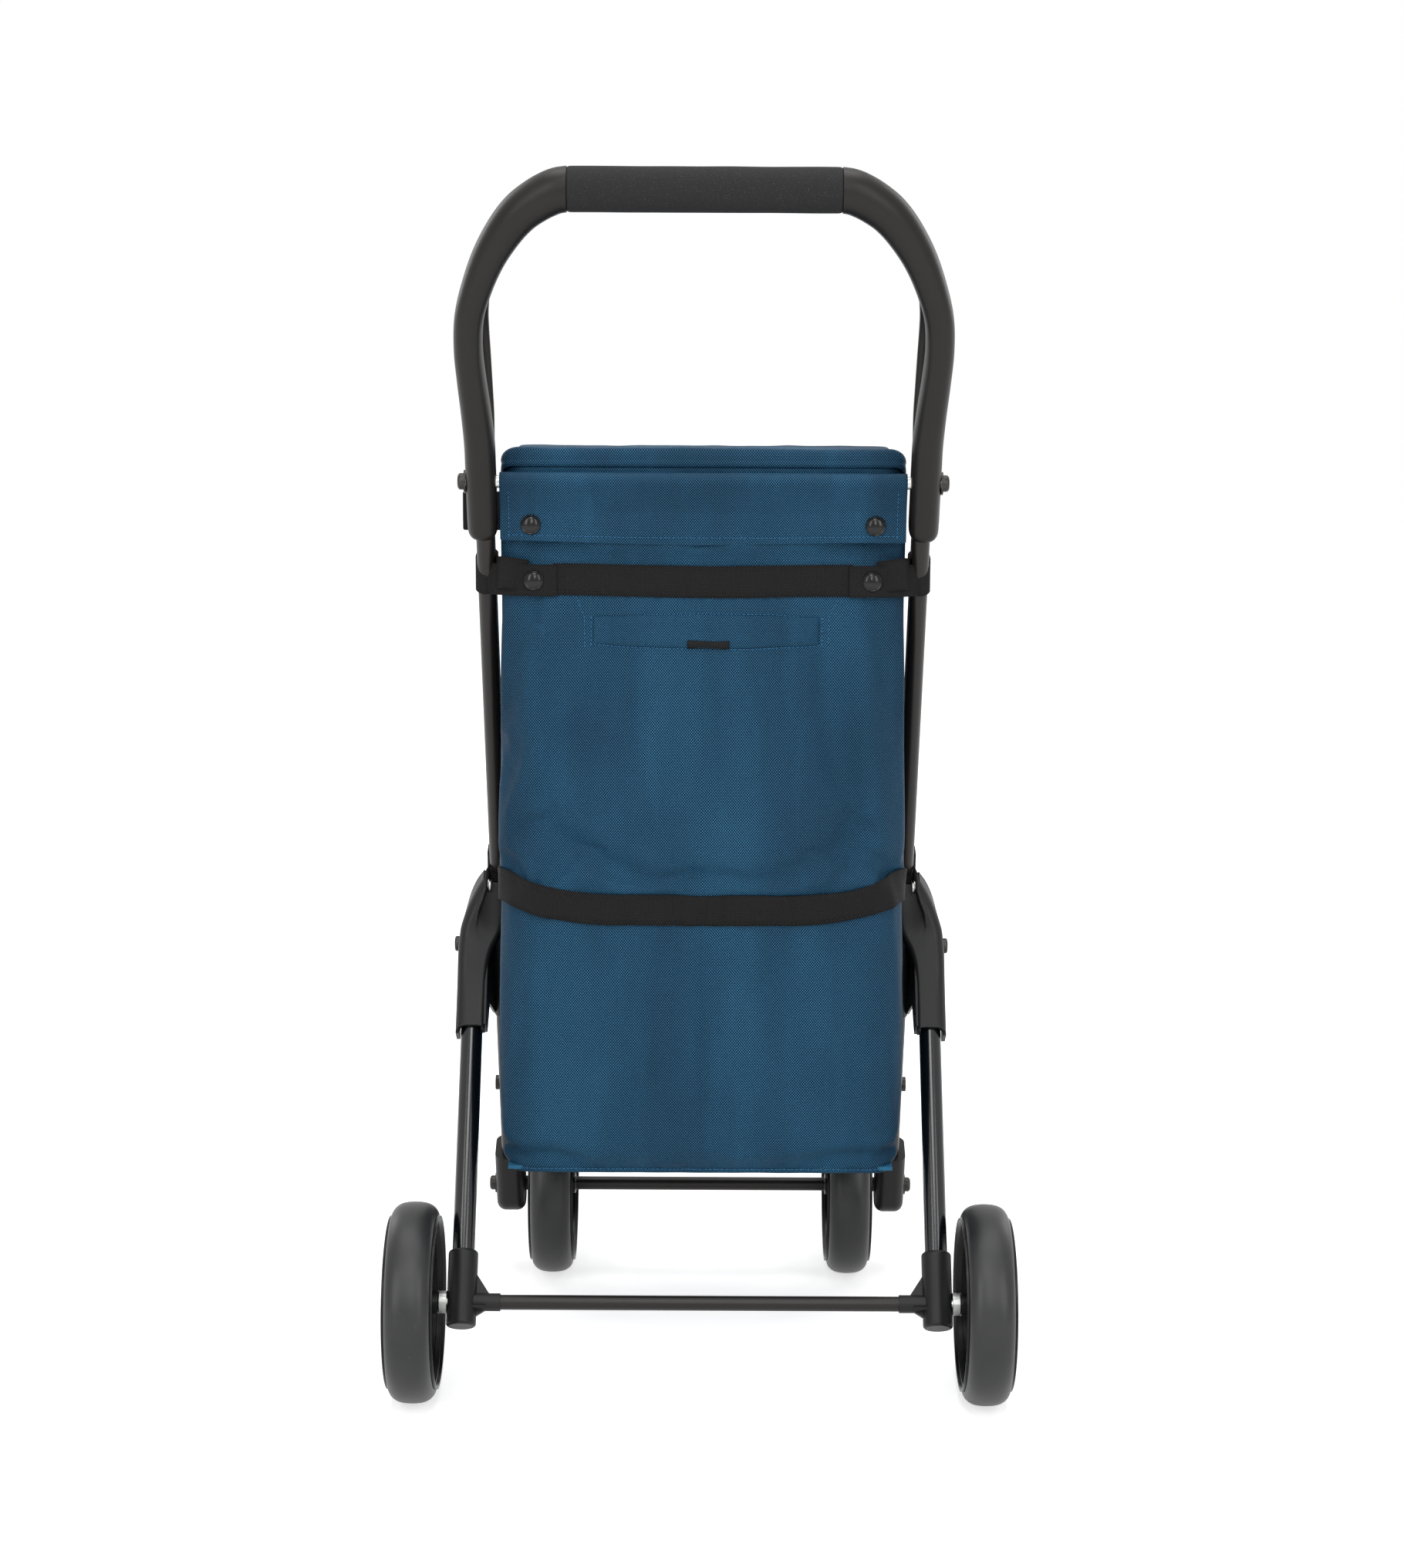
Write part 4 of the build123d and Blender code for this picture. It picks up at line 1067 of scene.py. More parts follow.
def snap_head(name, at, body):
    """A domed press-stud cap that faces backwards from a point on the cloth."""
    rings = []
    for out, radius in SNAP_PROFILE:
        radius = max(radius, 0.02) * MM
        rings.append([Vector((at.x + radius * c, at.y - (out - SNAP_SINK) * MM, at.z + radius * s))
                      for c, s in turns(48)])
    return shown(name, swept(name, rings, 50), SNAP, body)


def make_snaps():
    for side, x in zip(("left", "right"), FLAP_SNAPS):
        hit = from_behind(FLAP_SKIN_TREE, x, FLAP_SNAP_Z)
        head = snap_head(f"flap_snap_{side}", hit, "rod_flap")
        if side == "left":
            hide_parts("flap_snap_caps")


make_snaps()


# ---------------------------------------------------------------- straps
UP = Vector((0, 0, 1))
SIDES = ((-1, "left"), (1, "right"))
STRAP_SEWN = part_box("upper_strap")[1].x


def strap_sag(x):
    """The upper strap hangs a little between its tabs."""
    hang = 1.6 * MM * math.cos(math.pi * x / (2 * STRAP_SEWN)) ** 2
    return 0.8 * MM - hang + 0.5 * MM * noise.noise(Vector((x * 15, 0, 1)))


def strap_hems(line, inset):
    """Stitch lines along both edges of a strap, from its middle line."""
    return [[p + Vector((0, -1.0 * MM, up * (WEBBING_W / 2 - inset))) for p in line]
            for up in (1, -1)]


def tube_loop(side, z, gap, rise=10 * MM):
    """Webbing's path round a main tube from behind, round outside and back: it climbs as it goes."""
    end_r = TUBE_W / 2 + gap
    flat = (TUBE_D - TUBE_W) / 2 / math.cos(LEAN)
    path = []
    for degrees in range(-15, 286, 15):
        turn = math.radians(degrees)
        c = math.cos(turn)
        level = z + rise * (1 - c) / 2
        axis_y = AXLE.y - (level - AXLE.z) * math.tan(LEAN)
        ahead = -end_r * c - flat * math.copysign(min(1, abs(c) * 3), c)
        path.append(Vector((side * (TUBE_X + end_r * math.sin(turn)), axis_y + ahead, level)))
    return path


def make_upper_strap():
    z0 = STRAP_Z
    line = []
    for i in range(61):
        x = STRAP_SEWN * (i / 30 - 1)
        line.append(behind_shell(x, z0 + strap_sag(x), 1.1 * MM))
    sewn = ribbon("upper_strap_web", line, [UP] * 61, WEBBING_W, 1.6 * MM)
    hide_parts("upper_strap")
    rows = strap_hems(line[1:-1], 3 * MM)
    for end in (2, -3):
        rows.append([line[end] + Vector((0, -1.0 * MM, (t / 10 - 0.5) * (WEBBING_W - 5 * MM)))
                     for t in range(11)])
    sew("upper_strap_stitches", rows, BLACK_THREAD, "frame")
    stud_x = abs(STRAP_SNAPS[0])
    for side, name in SIDES:
        start, at_stud, near, inner = [
            behind_shell(side * x, z0 + up, lift * MM) for x, up, lift in
            ((STRAP_SEWN - 3 * MM, 0, 2.8), (stud_x, 0, 3.6), (BAG_HALF - 6 * MM, 0, 3.6),
             (stud_x + 4 * MM, 3 * MM, 1.6))]
        edge = Vector((side * (BAG_HALF - 1 * MM), BAG_BACK + 1 * MM, z0 + 6 * MM))
        loop = tube_loop(side, z0, 1.2 * MM)
        centres = through([start, at_stud, near, *loop, edge, inner], 110)
        tab = ribbon(f"strap_tab_{name}_web", centres, [UP] * 111, WEBBING_W, 1.4 * MM)
        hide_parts(f"strap_tab_{name}")
        steps_along(centres)[-1]
        head = snap_head(f"strap_snap_{name}", at_stud + Vector((0, -0.6 * MM, 0)), "frame")
        if side < 0:
            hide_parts("strap_snap_caps")


make_upper_strap()


LOOP_Z = on_tube(0, 345 * MM).z
LOOP_RISE = 22 * MM
STRAP_LEVEL = 70 * MM
CORNER_RISE = 18 * MM
CORNER_FALL = 15 * MM


def strap_level(x):
    """Height of the lower strap's middle behind the bag: level, then rising to the corners."""
    t = min(max((abs(x) - STRAP_LEVEL) / (BAG_HALF - 66 * MM), 0.0), 1.2)
    return LOWER_STRAP_Z + CORNER_RISE * t * t


# the stud of a strap's tail, seen from its side: (outwards, radius) in mm
TAIL_STUD = [(-1.6, 0.0), (-1.6, 5.4), (-0.9, 5.9), (-0.4, 4.6), (0.4, 4.6), (0.9, 6.0), (1.5, 5.4),
             (1.6, 0.0)]
# a tail's middle line from its loop: (outwards, backwards, down) in mm
TAIL_LINE = [(0, 0, 0), (2.0, 9, 4), (4.5, 15, 14), (8.5, 20, 25), (9.5, 24, 35)]
TAIL_STEPS = 24
TAIL_W = WEBBING_W * 0.8


def make_lower_strap():
    """Round the back of the bag from tube to tube, with a loop, a stud and a tail at each end."""
    back = []
    for degrees in range(-78, 79, 3):
        turn = math.radians(degrees)
        spot = round_shell(turn, LOWER_STRAP_Z, 1.2 * MM)
        level = strap_level(spot.x) - CORNER_FALL * clamp((spot.y - BAG_BACK - 8 * MM) / (115 * MM))
        low, mid, high = [round_shell(turn, level + up * WEBBING_W, 1.4 * MM) for up in (-0.5, 0, 0.5)]
        outwards = Vector((mid.x, mid.y, 0)).normalized()
        centre = mid + outwards * max(((low + high) / 2 - mid).dot(outwards), 0.0)
        back.append(Vector((*centre, *(high - low).normalized())))
    left, right = [[Vector((*p, *UP)) for p in tube_loop(side, LOOP_Z - 2 * MM, 1.6 * MM, LOOP_RISE)[:-3]]
                   for side in (-1, 1)]
    course = through(left[::-1] + back + right, 360)
    centres = [Vector(p[:3]) for p in course]
    band = ribbon("lower_strap_web", centres, [Vector(p[3:]) for p in course], WEBBING_W, 1.5 * MM)
    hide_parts("lower_strap")
    steps_along(centres)[-1]
    rows = strap_hems([p for p in centres if p.y < BAG_BACK + 3 * MM], 2.6 * MM)
    sew("lower_strap_stitches", rows, BLACK_THREAD, "frame")
    for side, name in SIDES:
        start = tube_loop(side, LOOP_Z - 2 * MM, 3.2 * MM, LOOP_RISE)[4]
        tail = through([start + Vector((side * out, -back, -down)) * MM for out, back, down in TAIL_LINE],
                       TAIL_STEPS)
        flat = Vector((side * 0.12, 1, 0.15))
        ways = [Vector((0, 0.35, 1)).lerp(flat, min(i / 10, 1.0)) for i in range(TAIL_STEPS + 1)]
        end = ribbon(f"strap_tail_{name}", tail, ways, TAIL_W, 1.4 * MM)
        steps_along(tail)[-1]
        at = start + Vector((-side * 1.2, -10, -8)) * MM
        stud = lathe(f"tail_snap_{name}", TAIL_STUD, at, side, ZINC, "frame", steps=40)


make_lower_strap()


# ---------------------------------------------------------------- lid
def lay_cloth(mesh):
    """Lays a UV map in metres over a mesh, flat on from the side that each face looks to."""
    layer = mesh.uv_layers.get("cloth") or mesh.uv_layers.new(name="cloth")
    spots = []
    for face in mesh.polygons:
        turn = [abs(v) for v in face.normal]
        for corner in face.vertices:
            x, y, z = mesh.vertices[corner].co
            spots += (x, y) if turn[2] > 0.6 else (x, z) if turn[1] >= turn[0] else (y, z)
    layer.data.foreach_set("uv", spots)


LID_HALF = 159.2 * MM
LID_SKIRT = 20 * MM
LID_BACK = BAG_BACK - 1.2 * MM
LID_FRONT = BAG_FRONT + 3.5 * MM
# shoulder of the lid: (inset, height over the bag's top) in mm, from its skirt inwards
LID_SHOULDER = [(0.0, 1.6), (0.4, 2.6), (1.4, 3.4), (3.0, 3.9), (5.5, 4.1), (9.0, 4.0), (14.0, 3.9),
                (20.0, 3.9)]
LID_ROLL = 10.8 * MM
LID_ROLL_DEEP = 15 * MM
LID_ROLL_TOP = 0.36
LID_AROUND = 300
LID_CROWN = 3.0 * MM


def lid_lift(x, y):
    """How far the lid's rear edge stands up as a soft roll, over its flat shoulder."""
    behind = (y - LID_BACK) / LID_ROLL_DEEP
    if behind >= 1:
        return 0.0
    side = clamp((LID_HALF - abs(x)) / (13 * MM))
    if behind < LID_ROLL_TOP:
        hump = math.sqrt(max(1 - (behind * 2 - 2 * LID_ROLL_TOP) ** 2 / 1.64, 0.0))
    else:
        hump = (1 + math.cos(math.pi * (behind - LID_ROLL_TOP) / (1 - LID_ROLL_TOP))) / 2
    return LID_ROLL * hump * (0.55 + 0.45 * side * (2 - side))


def lid_hem(y):
    """Height of the lid's hem, which rises to the hinge."""
    return BAG_TOP - 0.6 * MM - LID_SKIRT * ease((y - LID_BACK) / (18 * MM))


def lid_rows():
    """Rings of the lid from its hem up the skirt, over the shoulder and in to the middle."""
    rows = []
    for step in range(7):
        share = step / 6
        puff = 0.7 * MM * math.sin(math.pi * share)
        rows.append(rounded_ring(
            LID_HALF + puff - 0.7 * MM, LID_BACK - puff, LID_FRONT + puff, 8 * MM,
            lambda y: lid_hem(y) + share * (BAG_TOP + 1.2 * MM - lid_hem(y)), LID_AROUND))
    fine = []
    for (i0, h0), (i1, h1) in zip(LID_SHOULDER, LID_SHOULDER[1:]):
        fine += [(i0 + t / 3 * (i1 - i0), h0 + t / 3 * (h1 - h0)) for t in range(3)]
    for inset, height in fine + LID_SHOULDER[-1:]:
        rows.append(rounded_ring(
            LID_HALF - inset * MM, LID_BACK + inset * MM, LID_FRONT - inset * MM,
            max(8 - inset * 0.2, 5) * MM, lambda y: BAG_TOP + height * MM, LID_AROUND))
    last, shoulder = (value * MM for value in LID_SHOULDER[-1])
    middle_y = (LID_BACK + LID_FRONT) / 2
    for step in range(1, 23):
        share = step / 22
        half = max((LID_HALF - last) * (1 - share), 0.4 * MM)
        reach = ((LID_FRONT - LID_BACK) / 2 - last) * (1 - share * 0.995)
        high = BAG_TOP + shoulder + LID_CROWN * (1 - (1 - share) ** 2.4)
        rows.append(rounded_ring(half, middle_y - reach, middle_y + reach,
                                 min(5 * MM, half, reach) * 0.9, lambda y: high, LID_AROUND))
    return rows


def make_lid():
    mesh = sheet_mesh("bag_lid_cloth", lid_rows()[::-1], closed=True)
    for vertex in mesh.vertices:
        x, y, z = vertex.co
        rise = clamp((z - BAG_TOP + 1 * MM) / (4.5 * MM))
        if rise > 0:
            corner = math.exp(-(((abs(x) - LID_HALF) / (14 * MM)) ** 2 + ((y - LID_BACK) / (16 * MM)) ** 2))
            pleat = math.sin((abs(x) * 0.7 + y + z) / (1.3 * MM)) * 0.45 * MM * corner
            broad = noise.noise(Vector((x * 9, y * 20, 4.0))) * 1.5 + noise.noise(vertex.co * 48) * 0.5
            vertex.co.z += rise * (lid_lift(x, y) + broad * MM) + pleat
            vertex.co.y -= rise * corner * pleat
    tidy_normals(mesh)
    lay_cloth(mesh)
    lid = thicken(soften(shown("bag_lid_cloth", mesh, CLOTH, "bag_lid")), 1.1 * MM)
    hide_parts("bag_lid")


def make_drop():
    """The panel that hangs from the lid's front edge, tucked under it at the top."""
    low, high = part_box("bag_lid_front_flap")
    rows = [[Vector(((LID_HALF - 4 * MM) * (1 - i / 40), LID_FRONT + out * MM, BAG_TOP + 1.5 * MM))
             for i in range(81)] for out in (-1.0, 2.5)]

    def drop_point(down, across):
        z = high.z - down * (high.z - low.z)
        x = (LID_HALF - 0.5 * MM - 2 * MM * down ** 6) * (1 - 2 * across)
        wave = noise.noise(Vector((x * 18, z * 8, 9.0))) * 3 * MM * down
        return Vector((x, low.y + 13.5 * MM + wave - 5 * MM * (1 - down) ** 3, z))

    drop = panel("bag_lid_drop", rows + grid(28, 80, drop_point), CLOTH, "bag_lid")
    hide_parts("bag_lid_front_flap")


make_lid()
make_drop()


# ---------------------------------------------------------------- slot pocket
# the welt's sides, foot and top in mm
POCKET_PANEL = (-86.0, 92.0, 607.0, 628.6)
POCKET_MOUTH = (-12.0, 21.0)
# the dark lining behind the mouth: (height, how proud of the back) in mm
MOUTH_LINING = [(616.0, 0.4), (611.0, 0.4), (610.2, 2.1), (609.6, 4.1), (607.5, 3.9), (605.0, 3.1),
                (603.2, 0.9)]
# seams round the welt and beside it: (across, height) in mm
POCKET_SEAMS = [
    [(-88, 627.6), (-40, 630.3), (5, 631.2), (60, 630.4), (94, 627.6)],
    [(-88, 606.6), (-45, 604.0), (5, 603.0), (50, 603.7), (94, 606.6)],
    [(-88, 606.6), (-88, 627.6)], [(94, 606.6), (94, 627.6)],
    [(-93, 605), (-93.4, 628), (-102, 650)], [(99, 605), (99.4, 628), (106, 641)],
]


def make_pocket():
    """A welt let into the back, sewn all round, with a small dark mouth at its foot."""
    x0, x1, z0, z1 = POCKET_PANEL

    def welt_point(level, share):
        lens = math.sin(math.pi * share)
        top, foot = z1 + 2.2 * lens, z0 - 3.0 * lens
        x, z = x0 + share * (x1 - x0), top + level * (foot - top)
        edge = min(1.0, 5 * min(level, 1 - level, share * 7, (1 - share) * 7))
        puff = edge ** 0.6 * (1.3 + 0.5 * noise.noise(Vector((x * 0.05, z * 0.08, 2.0))))
        mouth = math.exp(-((x - 4.5) / 15) ** 4) * max(0.0, level - 0.55) * 2.2
        return behind_shell(x * MM, z * MM, (0.8 + puff * 1.2 + mouth * 1.5) * MM)

    welt = panel("slot_pocket_welt", grid(14, 88, welt_point), CLOTH, "frame", 0.8 * MM)
    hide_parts("slot_pocket")
    left, right = POCKET_MOUTH
    rows = [[behind_shell((left + c / 16 * (right - left)) * MM, z * MM, lift * MM) for c in range(17)]
            for z, lift in MOUTH_LINING]
    lining = sheet_mesh("slot_pocket_mouth", rows)
    mouth = thicken(shown("slot_pocket_mouth", lining, TAG, "frame"), 0.5 * MM)
    lines = [on_back(seam) for seam in POCKET_SEAMS]
    sew("slot_pocket_stitches", lines, BLUE_THREAD, "frame")


make_pocket()


# ---------------------------------------------------------------- side tag
def make_tag():
    """A blank woven tag, folded once, out of the side seam."""
    low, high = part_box("side_tag")
    middle_y = (low.y + high.y) / 2

    def tag_point(down, out):
        x = low.x + out * (high.x - low.x - 1 * MM)
        z = high.z + down * (low.z - high.z)
        bend = 1.2 * math.sin(math.pi * out) + 0.5 * noise.noise(Vector((x * 60, z * 60, 1)))
        return Vector((x, middle_y - bend * 0.4 * MM, z))

    tag = panel("side_tag_cloth", grid(12, 14, tag_point), TAG, "frame", 1.5 * MM, 0.0)
    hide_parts("side_tag")


make_tag()


# ---------------------------------------------------------------- grip
GRIP_BORE = 11.3 * MM


def make_grip():
    low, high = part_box("foam_grip")
    half = high.x
    radius = (high.z - low.z) / 2
    end = [(0.0, GRIP_BORE), (0.0, radius - 2.6 * MM), (0.5 * MM, radius - 1.2 * MM),
           (1.6 * MM, radius - 0.3 * MM)]
    stations = [(inset - half, r) for inset, r in end]
    stations += [(-half + 3 * MM + i / 60 * (2 * half - 6 * MM), radius) for i in range(61)]
    stations += [(half - inset, r) for inset, r in end[::-1]]
    rows = []
    for x, r in stations:
        ring = []
        for c, s in turns(72):
            soft = 0.28 * MM * (noise.noise(Vector((x * 30, c * 0.9, s * 0.9))) - 0.5)
            out = r + (soft if r > radius - 2 * MM else 0)
            ring.append(Vector((x, GRIP.y + out * s, GRIP.z + out * c)))
        rows.append(ring)
    mesh = tidy_normals(sheet_mesh("foam_sleeve", rows + rows[:1], closed=True))
    grip = soften(shown("foam_sleeve", mesh, FOAM, "frame"))
    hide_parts("foam_grip")


make_grip()


# ---------------------------------------------------------------- wheels
# sections of a wheel: (distance outwards from its middle, radius) in mm
TYRE_SHOULDER = [(0.0, 80.0), (3.0, 79.92), (6.0, 79.65), (9.0, 79.1), (11.6, 78.2), (14.0, 76.8),
                 (16.0, 74.9), (17.4, 72.6), (18.0, 70.2), (17.9, 68.3), (17.3, 67.0)]
RIM_INSIDE = [(20.0, 68.8), (19.8, 66.6), (17.6, 65.6), (17.2, 63.9), (13.0, 63.3), (12.6, 61.9),
              (4.0, 61.4)]
RIM_SECTION = [(-20.0, 68.8), (-18.4, 69.0), (-18.0, 66.9), (18.0, 66.9), (18.4, 69.0),
               *RIM_INSIDE, *[(-out, r) for out, r in RIM_INSIDE[:0:-1]]]
HUB_SECTION = [(-20.0, 6.6), (-20.0, 8.4), (-19.2, 9.2), (-9.0, 9.5), (-4.5, 12.4), (4.5, 12.4), (9.0, 9.5),
               (19.2, 9.2), (20.0, 8.4), (20.0, 6.6), (8.0, 6.6), (8.0, 4.9), (-8.0, 4.9), (-8.0, 6.6)]
SPOKES = 6
# one spoke, from hub to rim: (radius, half width, half thickness) in mm
SPOKE_SECTIONS = [(8.5, 6.4, 4.2), (14.0, 6.3, 4.0), (24.0, 5.7, 3.2), (38.0, 5.6, 2.7), (50.0, 6.2, 2.7),
                  (58.0, 8.2, 3.0), (62.3, 11.5, 3.4)]


def spoke_tree():
    """Geometry nodes: one spoke set round a wheel's centre line."""
    tree, node = geometry_tree("spoke_ring", {
        "Spoke": "Geometry", "Count": "Int", "Centre": "Vector", "Plastic": "Material"}, "Ring")
    given = node("NodeGroupInput")
    spots = node("GeometryNodePoints", {"Count": given["Count"], "Position": given["Centre"]})
    turn = node("ShaderNodeMath", {0: TAU, 1: given["Count"]}, operation="DIVIDE")
    index = node("GeometryNodeInputIndex")
    each = node("ShaderNodeMath", {0: index[0], 1: turn[0]}, operation="MULTIPLY")
    about = node("ShaderNodeCombineXYZ", {"X": each[0]})
    instances(node, given, spots[0], given["Spoke"], "Plastic", Rotation=about[0])
    return tree


SPOKE_RING = spoke_tree()


def spoke_mesh():
    rings = [[Vector((thick * rounded(c, 0.45), half * rounded(s, 0.45), radius)) * MM
              for c, s in turns(20)] for radius, half, thick in SPOKE_SECTIONS]
    return swept("spoke", rings)


SPOKE = spoke_mesh()


def make_wheel(name, body, plastic_node):
    centre = middle(name + "_tyre")
    side = math.copysign(1, centre.x)
    section = TYRE_SHOULDER + [(-out, r) for out, r in TYRE_SHOULDER[:0:-1]]
    section = section[::-1] if side > 0 else section
    tyre = lathe(name + "_tread", section, centre, side, TYRE, body, 128, None)
    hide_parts(name + "_tyre")
    barrel = lathe(name + "_barrel", RIM_SECTION, centre, side, WHEEL, body, 96, 30)
    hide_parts(plastic_node)
    hub = lathe(name + "_hub", HUB_SECTION, centre, side, WHEEL, body, 48, 30)
    ring = grown("spoke", SPOKE, SPOKE_RING, {"Count": SPOKES, "Centre": centre, "Plastic": WHEEL})
    for piece in (barrel, hub, shown(name + "_spokes", ring, WHEEL, body)):
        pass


for corner in ("rear_left", "rear_right", "front_left", "front_right"):
    make_wheel(corner, corner + "_wheel", corner + "_rim")


# ---------------------------------------------------------------- handle arms
def oval_ring(centre, wide, deep, wide_way, deep_way, power, count=48):
    """A rounded oval section about a point."""
    return [centre + wide_way * (wide / 2 * rounded(c, power)) + deep_way * (deep / 2 * rounded(s, power))
            for c, s in turns(count)]


def run_at(stations, i, first):
    """Which way a line of stations runs at one of them, in two of its values from the first."""
    after, before = stations[min(i + 1, len(stations) - 1)], stations[max(i - 1, 0)]
    return Vector((after[first] - before[first], after[first + 1] - before[first + 1])).normalized()


# an arm's middle line and section: (across, along the tube, width, depth) in mm, from its foot to the grip
ARM_LINE = [(173.3, 672.2, 16.5, 26.0), (173.3, 672.9, 19.5, 29.0), (173.3, 675.2, 22.4, 31.8),
            (173.35, 680.0, 23.6, 33.0), (173.35, 700.0, 23.7, 33.0), (173.35, 730.0, 23.7, 33.0),
            (173.5, 752.0, 23.6, 33.0), (175.2, 778.0, 22.9, 33.0), (177.6, 806.0, 22.2, 33.0),
            (179.0, 832.0, 22.0, 33.0), (177.2, 858.0, 22.4, 33.0), (170.4, 882.5, 23.6, 33.0),
            (160.6, 906.5, 25.8, 33.0), (148.4, 927.0, 28.4, 33.0), (136.5, 941.5, 30.4, 33.0),
            (124.0, 951.2, 31.9, 33.0), (113.0, 957.2, 32.9, 33.4), (106.0, 959.4, 33.4, 33.8),
            (101.8, 959.9, 33.6, 34.0)]
# the bow that closes each arm's window: (across, along, ahead of the tube, thickness) in mm
BOW_LINE = [(169.6, 732.0, 8.0, 9.0), (169.4, 750.0, 15.5, 9.0), (169.4, 768.0, 20.6, 9.0),
            (169.9, 790.0, 22.0, 9.0), (170.4, 815.0, 22.0, 9.0), (170.8, 836.0, 20.4, 9.0),
            (170.4, 854.0, 15.4, 9.5), (168.6, 872.0, 8.0, 10.0)]
BOW_W = 13.5 * MM
ARM_STEPS = 150


def make_arm(name, side):
    stations = through([Vector(s) * MM for s in ARM_LINE], ARM_STEPS)
    rings = []
    for i, (x, along, wide, deep) in enumerate(stations):
        run = run_at(stations, i, 0)
        if i < 7:
            run = Vector((0, 1))
        elif i > ARM_STEPS - 2:
            run = Vector((-1, 0))
        across = Vector((side * run[1], 0, 0)) - UP_TUBE * run[0]
        blunt = 0.78 + 0.18 * clamp((along / MM - 880) / 80)
        rings.append(oval_ring(on_tube(side * x, along), wide, deep, across, AHEAD_OF_TUBE, blunt))
    arm = shown(f"handle_arm_{name}_skin", swept(f"handle_arm_{name}_grip_side", rings, 60), ARM, "frame")
    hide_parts(f"handle_arm_{name}")
    stations = through([Vector(s) * MM for s in BOW_LINE], 70)
    rings = []
    for i, (x, along, ahead, thick) in enumerate(stations):
        run = run_at(stations, i, 1)
        out = AHEAD_OF_TUBE * run[0] - UP_TUBE * run[1]
        rings.append(oval_ring(on_tube(side * x, along, ahead), BOW_W, thick,
                               Vector((side, 0, 0)), out, 0.7, 32))
    bow = f"handle_bow_{name}"
    shown(bow, swept(bow, rings, 60), ARM, "frame")


for way, hand in SIDES:
    make_arm(hand, way)


# ---------------------------------------------------------------- knees
LEG_LEAN = math.atan2(PIVOT.y - REAR_AXLE.y, PIVOT.z - REAR_AXLE.z)
UP_LEG = Vector((0, math.sin(LEG_LEAN), math.cos(LEG_LEAN)))
AHEAD_OF_LEG = Vector((0, math.cos(LEG_LEAN), -math.sin(LEG_LEAN)))
# the hood's rear face from foot to crown, in mm: (along the leg from the pivot, behind it, inner edge,
# outer edge, reach forward of the inner lip, reach forward of the outer cheek, lean from leg to tube)
KNEE_LINE = [(-77.0, 12.6, 179.6, 204.3, 8, 24, 0.0), (-62, 12.7, 179.6, 204.3, 8, 24, 0.0),
             (-46, 13.0, 179.5, 204.3, 8, 25, 0.0), (-31, 14.3, 179.0, 204.3, 9, 27, 0.0),
             (-19, 16.4, 177.4, 204.3, 10, 30, 0.05), (-8, 17.9, 174.0, 204.1, 12, 32, 0.15),
             (0.0, 19.0, 169.5, 203.4, 14, 33, 0.3), (8, 21.4, 165.6, 201.8, 16, 32, 0.5),
             (21.4, 27.3, 162.4, 195.8, 17, 28, 0.8), (33, 31.6, 161.8, 189.0, 17, 23, 1.0),
             (41.5, 34.9, 161.7, 183.6, 17, 19, 1.0)]
KNEE_SKIN = 3.2 * MM
SLEEVE_FOOT = 202 * MM
SLEEVE_TOP = 334 * MM
# the web's outline beside the leg: (along the leg from the pivot, ahead of its axis) in mm
WEB_BEHIND = [(-76, -11.5), (-30, -13), (0, -16), (22, -24)]
WEB_AHEAD = [(-44, 25), (-66, 15), (-76, 9)]
WEB_IN = 178.4 * MM
WEB_THICK = 2.6 * MM


def knee_section(station, side, foot):
    """One U-shaped section of the hood, from its inner lip round the back to its outer cheek."""
    along, behind, x_in, x_out, reach_in, reach_out, lean = station
    ahead = AHEAD_OF_LEG.lerp(AHEAD_OF_TUBE, min(lean, 1.0)).normalized()
    base = PIVOT + along * UP_LEG - behind * AHEAD_OF_LEG
    r_in, r_out = (3.5 + 3.5 * lean) * MM, 8.5 * MM
    flat = [(x_in, reach_in - t / 5 * (reach_in - r_in)) for t in range(5)]
    flat += [(x_in + r_in * (1 - math.cos(a)), r_in * (1 - math.sin(a))) for a in
             (math.radians(15 * t) for t in range(7))]
    flat += [(x_in + r_in + t / 9 * (x_out - x_in - r_in - r_out), 0.0) for t in range(1, 9)]
    flat += [(x_out - r_out * (1 - math.sin(a)), r_out * (1 - math.cos(a))) for a in
             (math.radians(10 * t) for t in range(10))]
    flat += [(x_out, r_out + t / 8 * (reach_out - r_out)) for t in range(1, 9)]
    points = []
    for x, forward in flat:
        wide = (2 * x - x_in - x_out) / (x_out - x_in)
        arch = -(1.4 * wide ** 4 + 3.0 * min(forward / (8 * MM), 1.0)) * MM * foot
        points.append(Vector((side * x, base.y, base.z)) + forward * ahead + arch * UP_LEG)
    return points


def make_hood(name, side):
    """The moulded shell that the leg swings in, open towards the front."""
    stations = through([Vector(s) for s in KNEE_LINE], 84)
    rows = []
    for i, s in enumerate(stations):
        scaled = [s[k] * MM for k in range(6)] + [s[6]]
        rows.append(knee_section(scaled, side, max(0.0, 1 - i / 5)))
    if side > 0:
        rows = [row[::-1] for row in rows]
    mesh = sheet_mesh(f"knee_hood_{name}", rows)
    hood = thicken(shown(f"knee_hood_{name}", mesh, BRACKET, "frame"), KNEE_SKIN)
    edge = hood.modifiers.new("edge", "BEVEL")
    edge.width, edge.segments, edge.limit_method = 0.7 * MM, 3, "ANGLE"
    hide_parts(f"knee_bracket_{name}")
    return hood


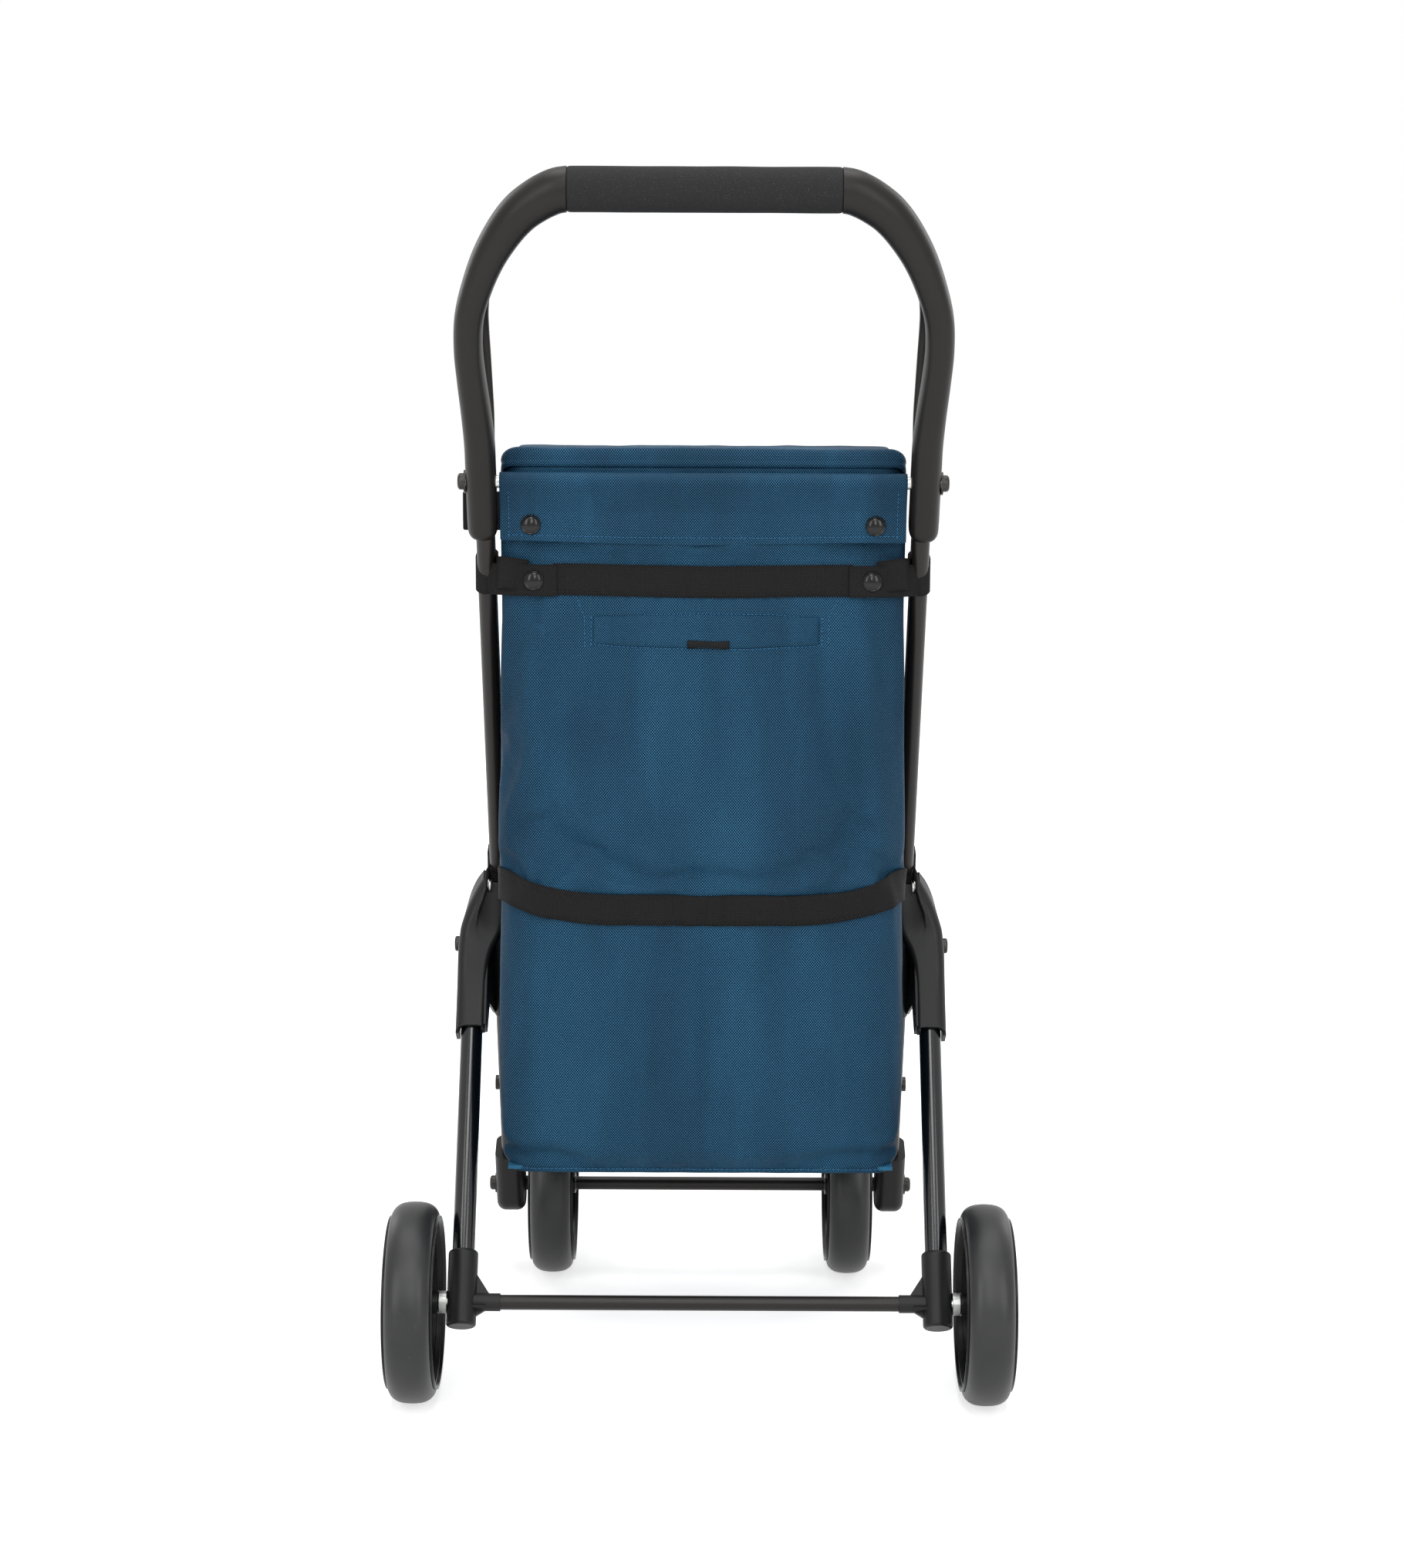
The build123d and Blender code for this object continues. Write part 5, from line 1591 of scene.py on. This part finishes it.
def make_sleeve(name, side):
    """The sleeve of a knee, closed round its main tube."""
    stations = [(0.0, -1.2), (0.5, -0.4), (1.5, 0.0)]
    stations = [(SLEEVE_FOOT + up * MM, grow) for up, grow in stations]
    stations += [(SLEEVE_FOOT + i / 12 * (SLEEVE_TOP - SLEEVE_FOOT), 0.0) for i in range(1, 12)]
    stations += [(SLEEVE_TOP - down * MM, grow) for down, grow in ((2, 0.0), (0.6, -0.5), (0, -1.6))]
    rings = [oval_ring(on_tube(side * TUBE_X, along), (19.2 + 2 * grow) * MM, (33.2 + 2 * grow) * MM,
                       Vector((side, 0, 0)), AHEAD_OF_TUBE, 0.72) for along, grow in stations]
    sleeve = f"knee_sleeve_{name}"
    return shown(sleeve, swept(sleeve, rings, 40), BRACKET, "frame")


def beside_leg(spots):
    """Points beside a leg: (along it from the pivot, ahead of its axis) in mm."""
    return [PIVOT + along * MM * UP_LEG + ahead * MM * AHEAD_OF_LEG for along, ahead in spots]


def make_web(name, side):
    """The flat web between a knee's hood and its sleeve."""
    top, foot = SLEEVE_TOP - 6 * MM, SLEEVE_FOOT + 3 * MM
    on_sleeve = [on_tube(0, top, -13 * MM), on_tube(0, top - 4 * MM),
                 on_tube(0, foot), on_tube(0, foot, -13 * MM)]
    outline = beside_leg(WEB_BEHIND) + on_sleeve + beside_leg(WEB_AHEAD)
    work = bmesh.new()
    face = work.faces.new([work.verts.new((side * WEB_IN, p.y, p.z)) for p in outline])
    grown_face = bmesh.ops.extrude_face_region(work, geom=[face])
    bmesh.ops.translate(work, vec=(side * WEB_THICK, 0, 0),
                        verts=[v for v in grown_face["geom"] if isinstance(v, bmesh.types.BMVert)])
    bmesh.ops.recalc_face_normals(work, faces=work.faces)
    mesh = bpy.data.meshes.new(f"knee_web_{name}")
    work.to_mesh(mesh)
    work.free()
    web = shown(f"knee_web_{name}", mesh, BRACKET, "frame")
    edge = web.modifiers.new("edge", "BEVEL")
    edge.width, edge.segments, edge.harden_normals = 0.6 * MM, 2, True
    return web


def make_knee(name, side):
    for make in (make_hood, make_sleeve, make_web):
        make(name, side)


for way, hand in SIDES:
    make_knee(hand, way)
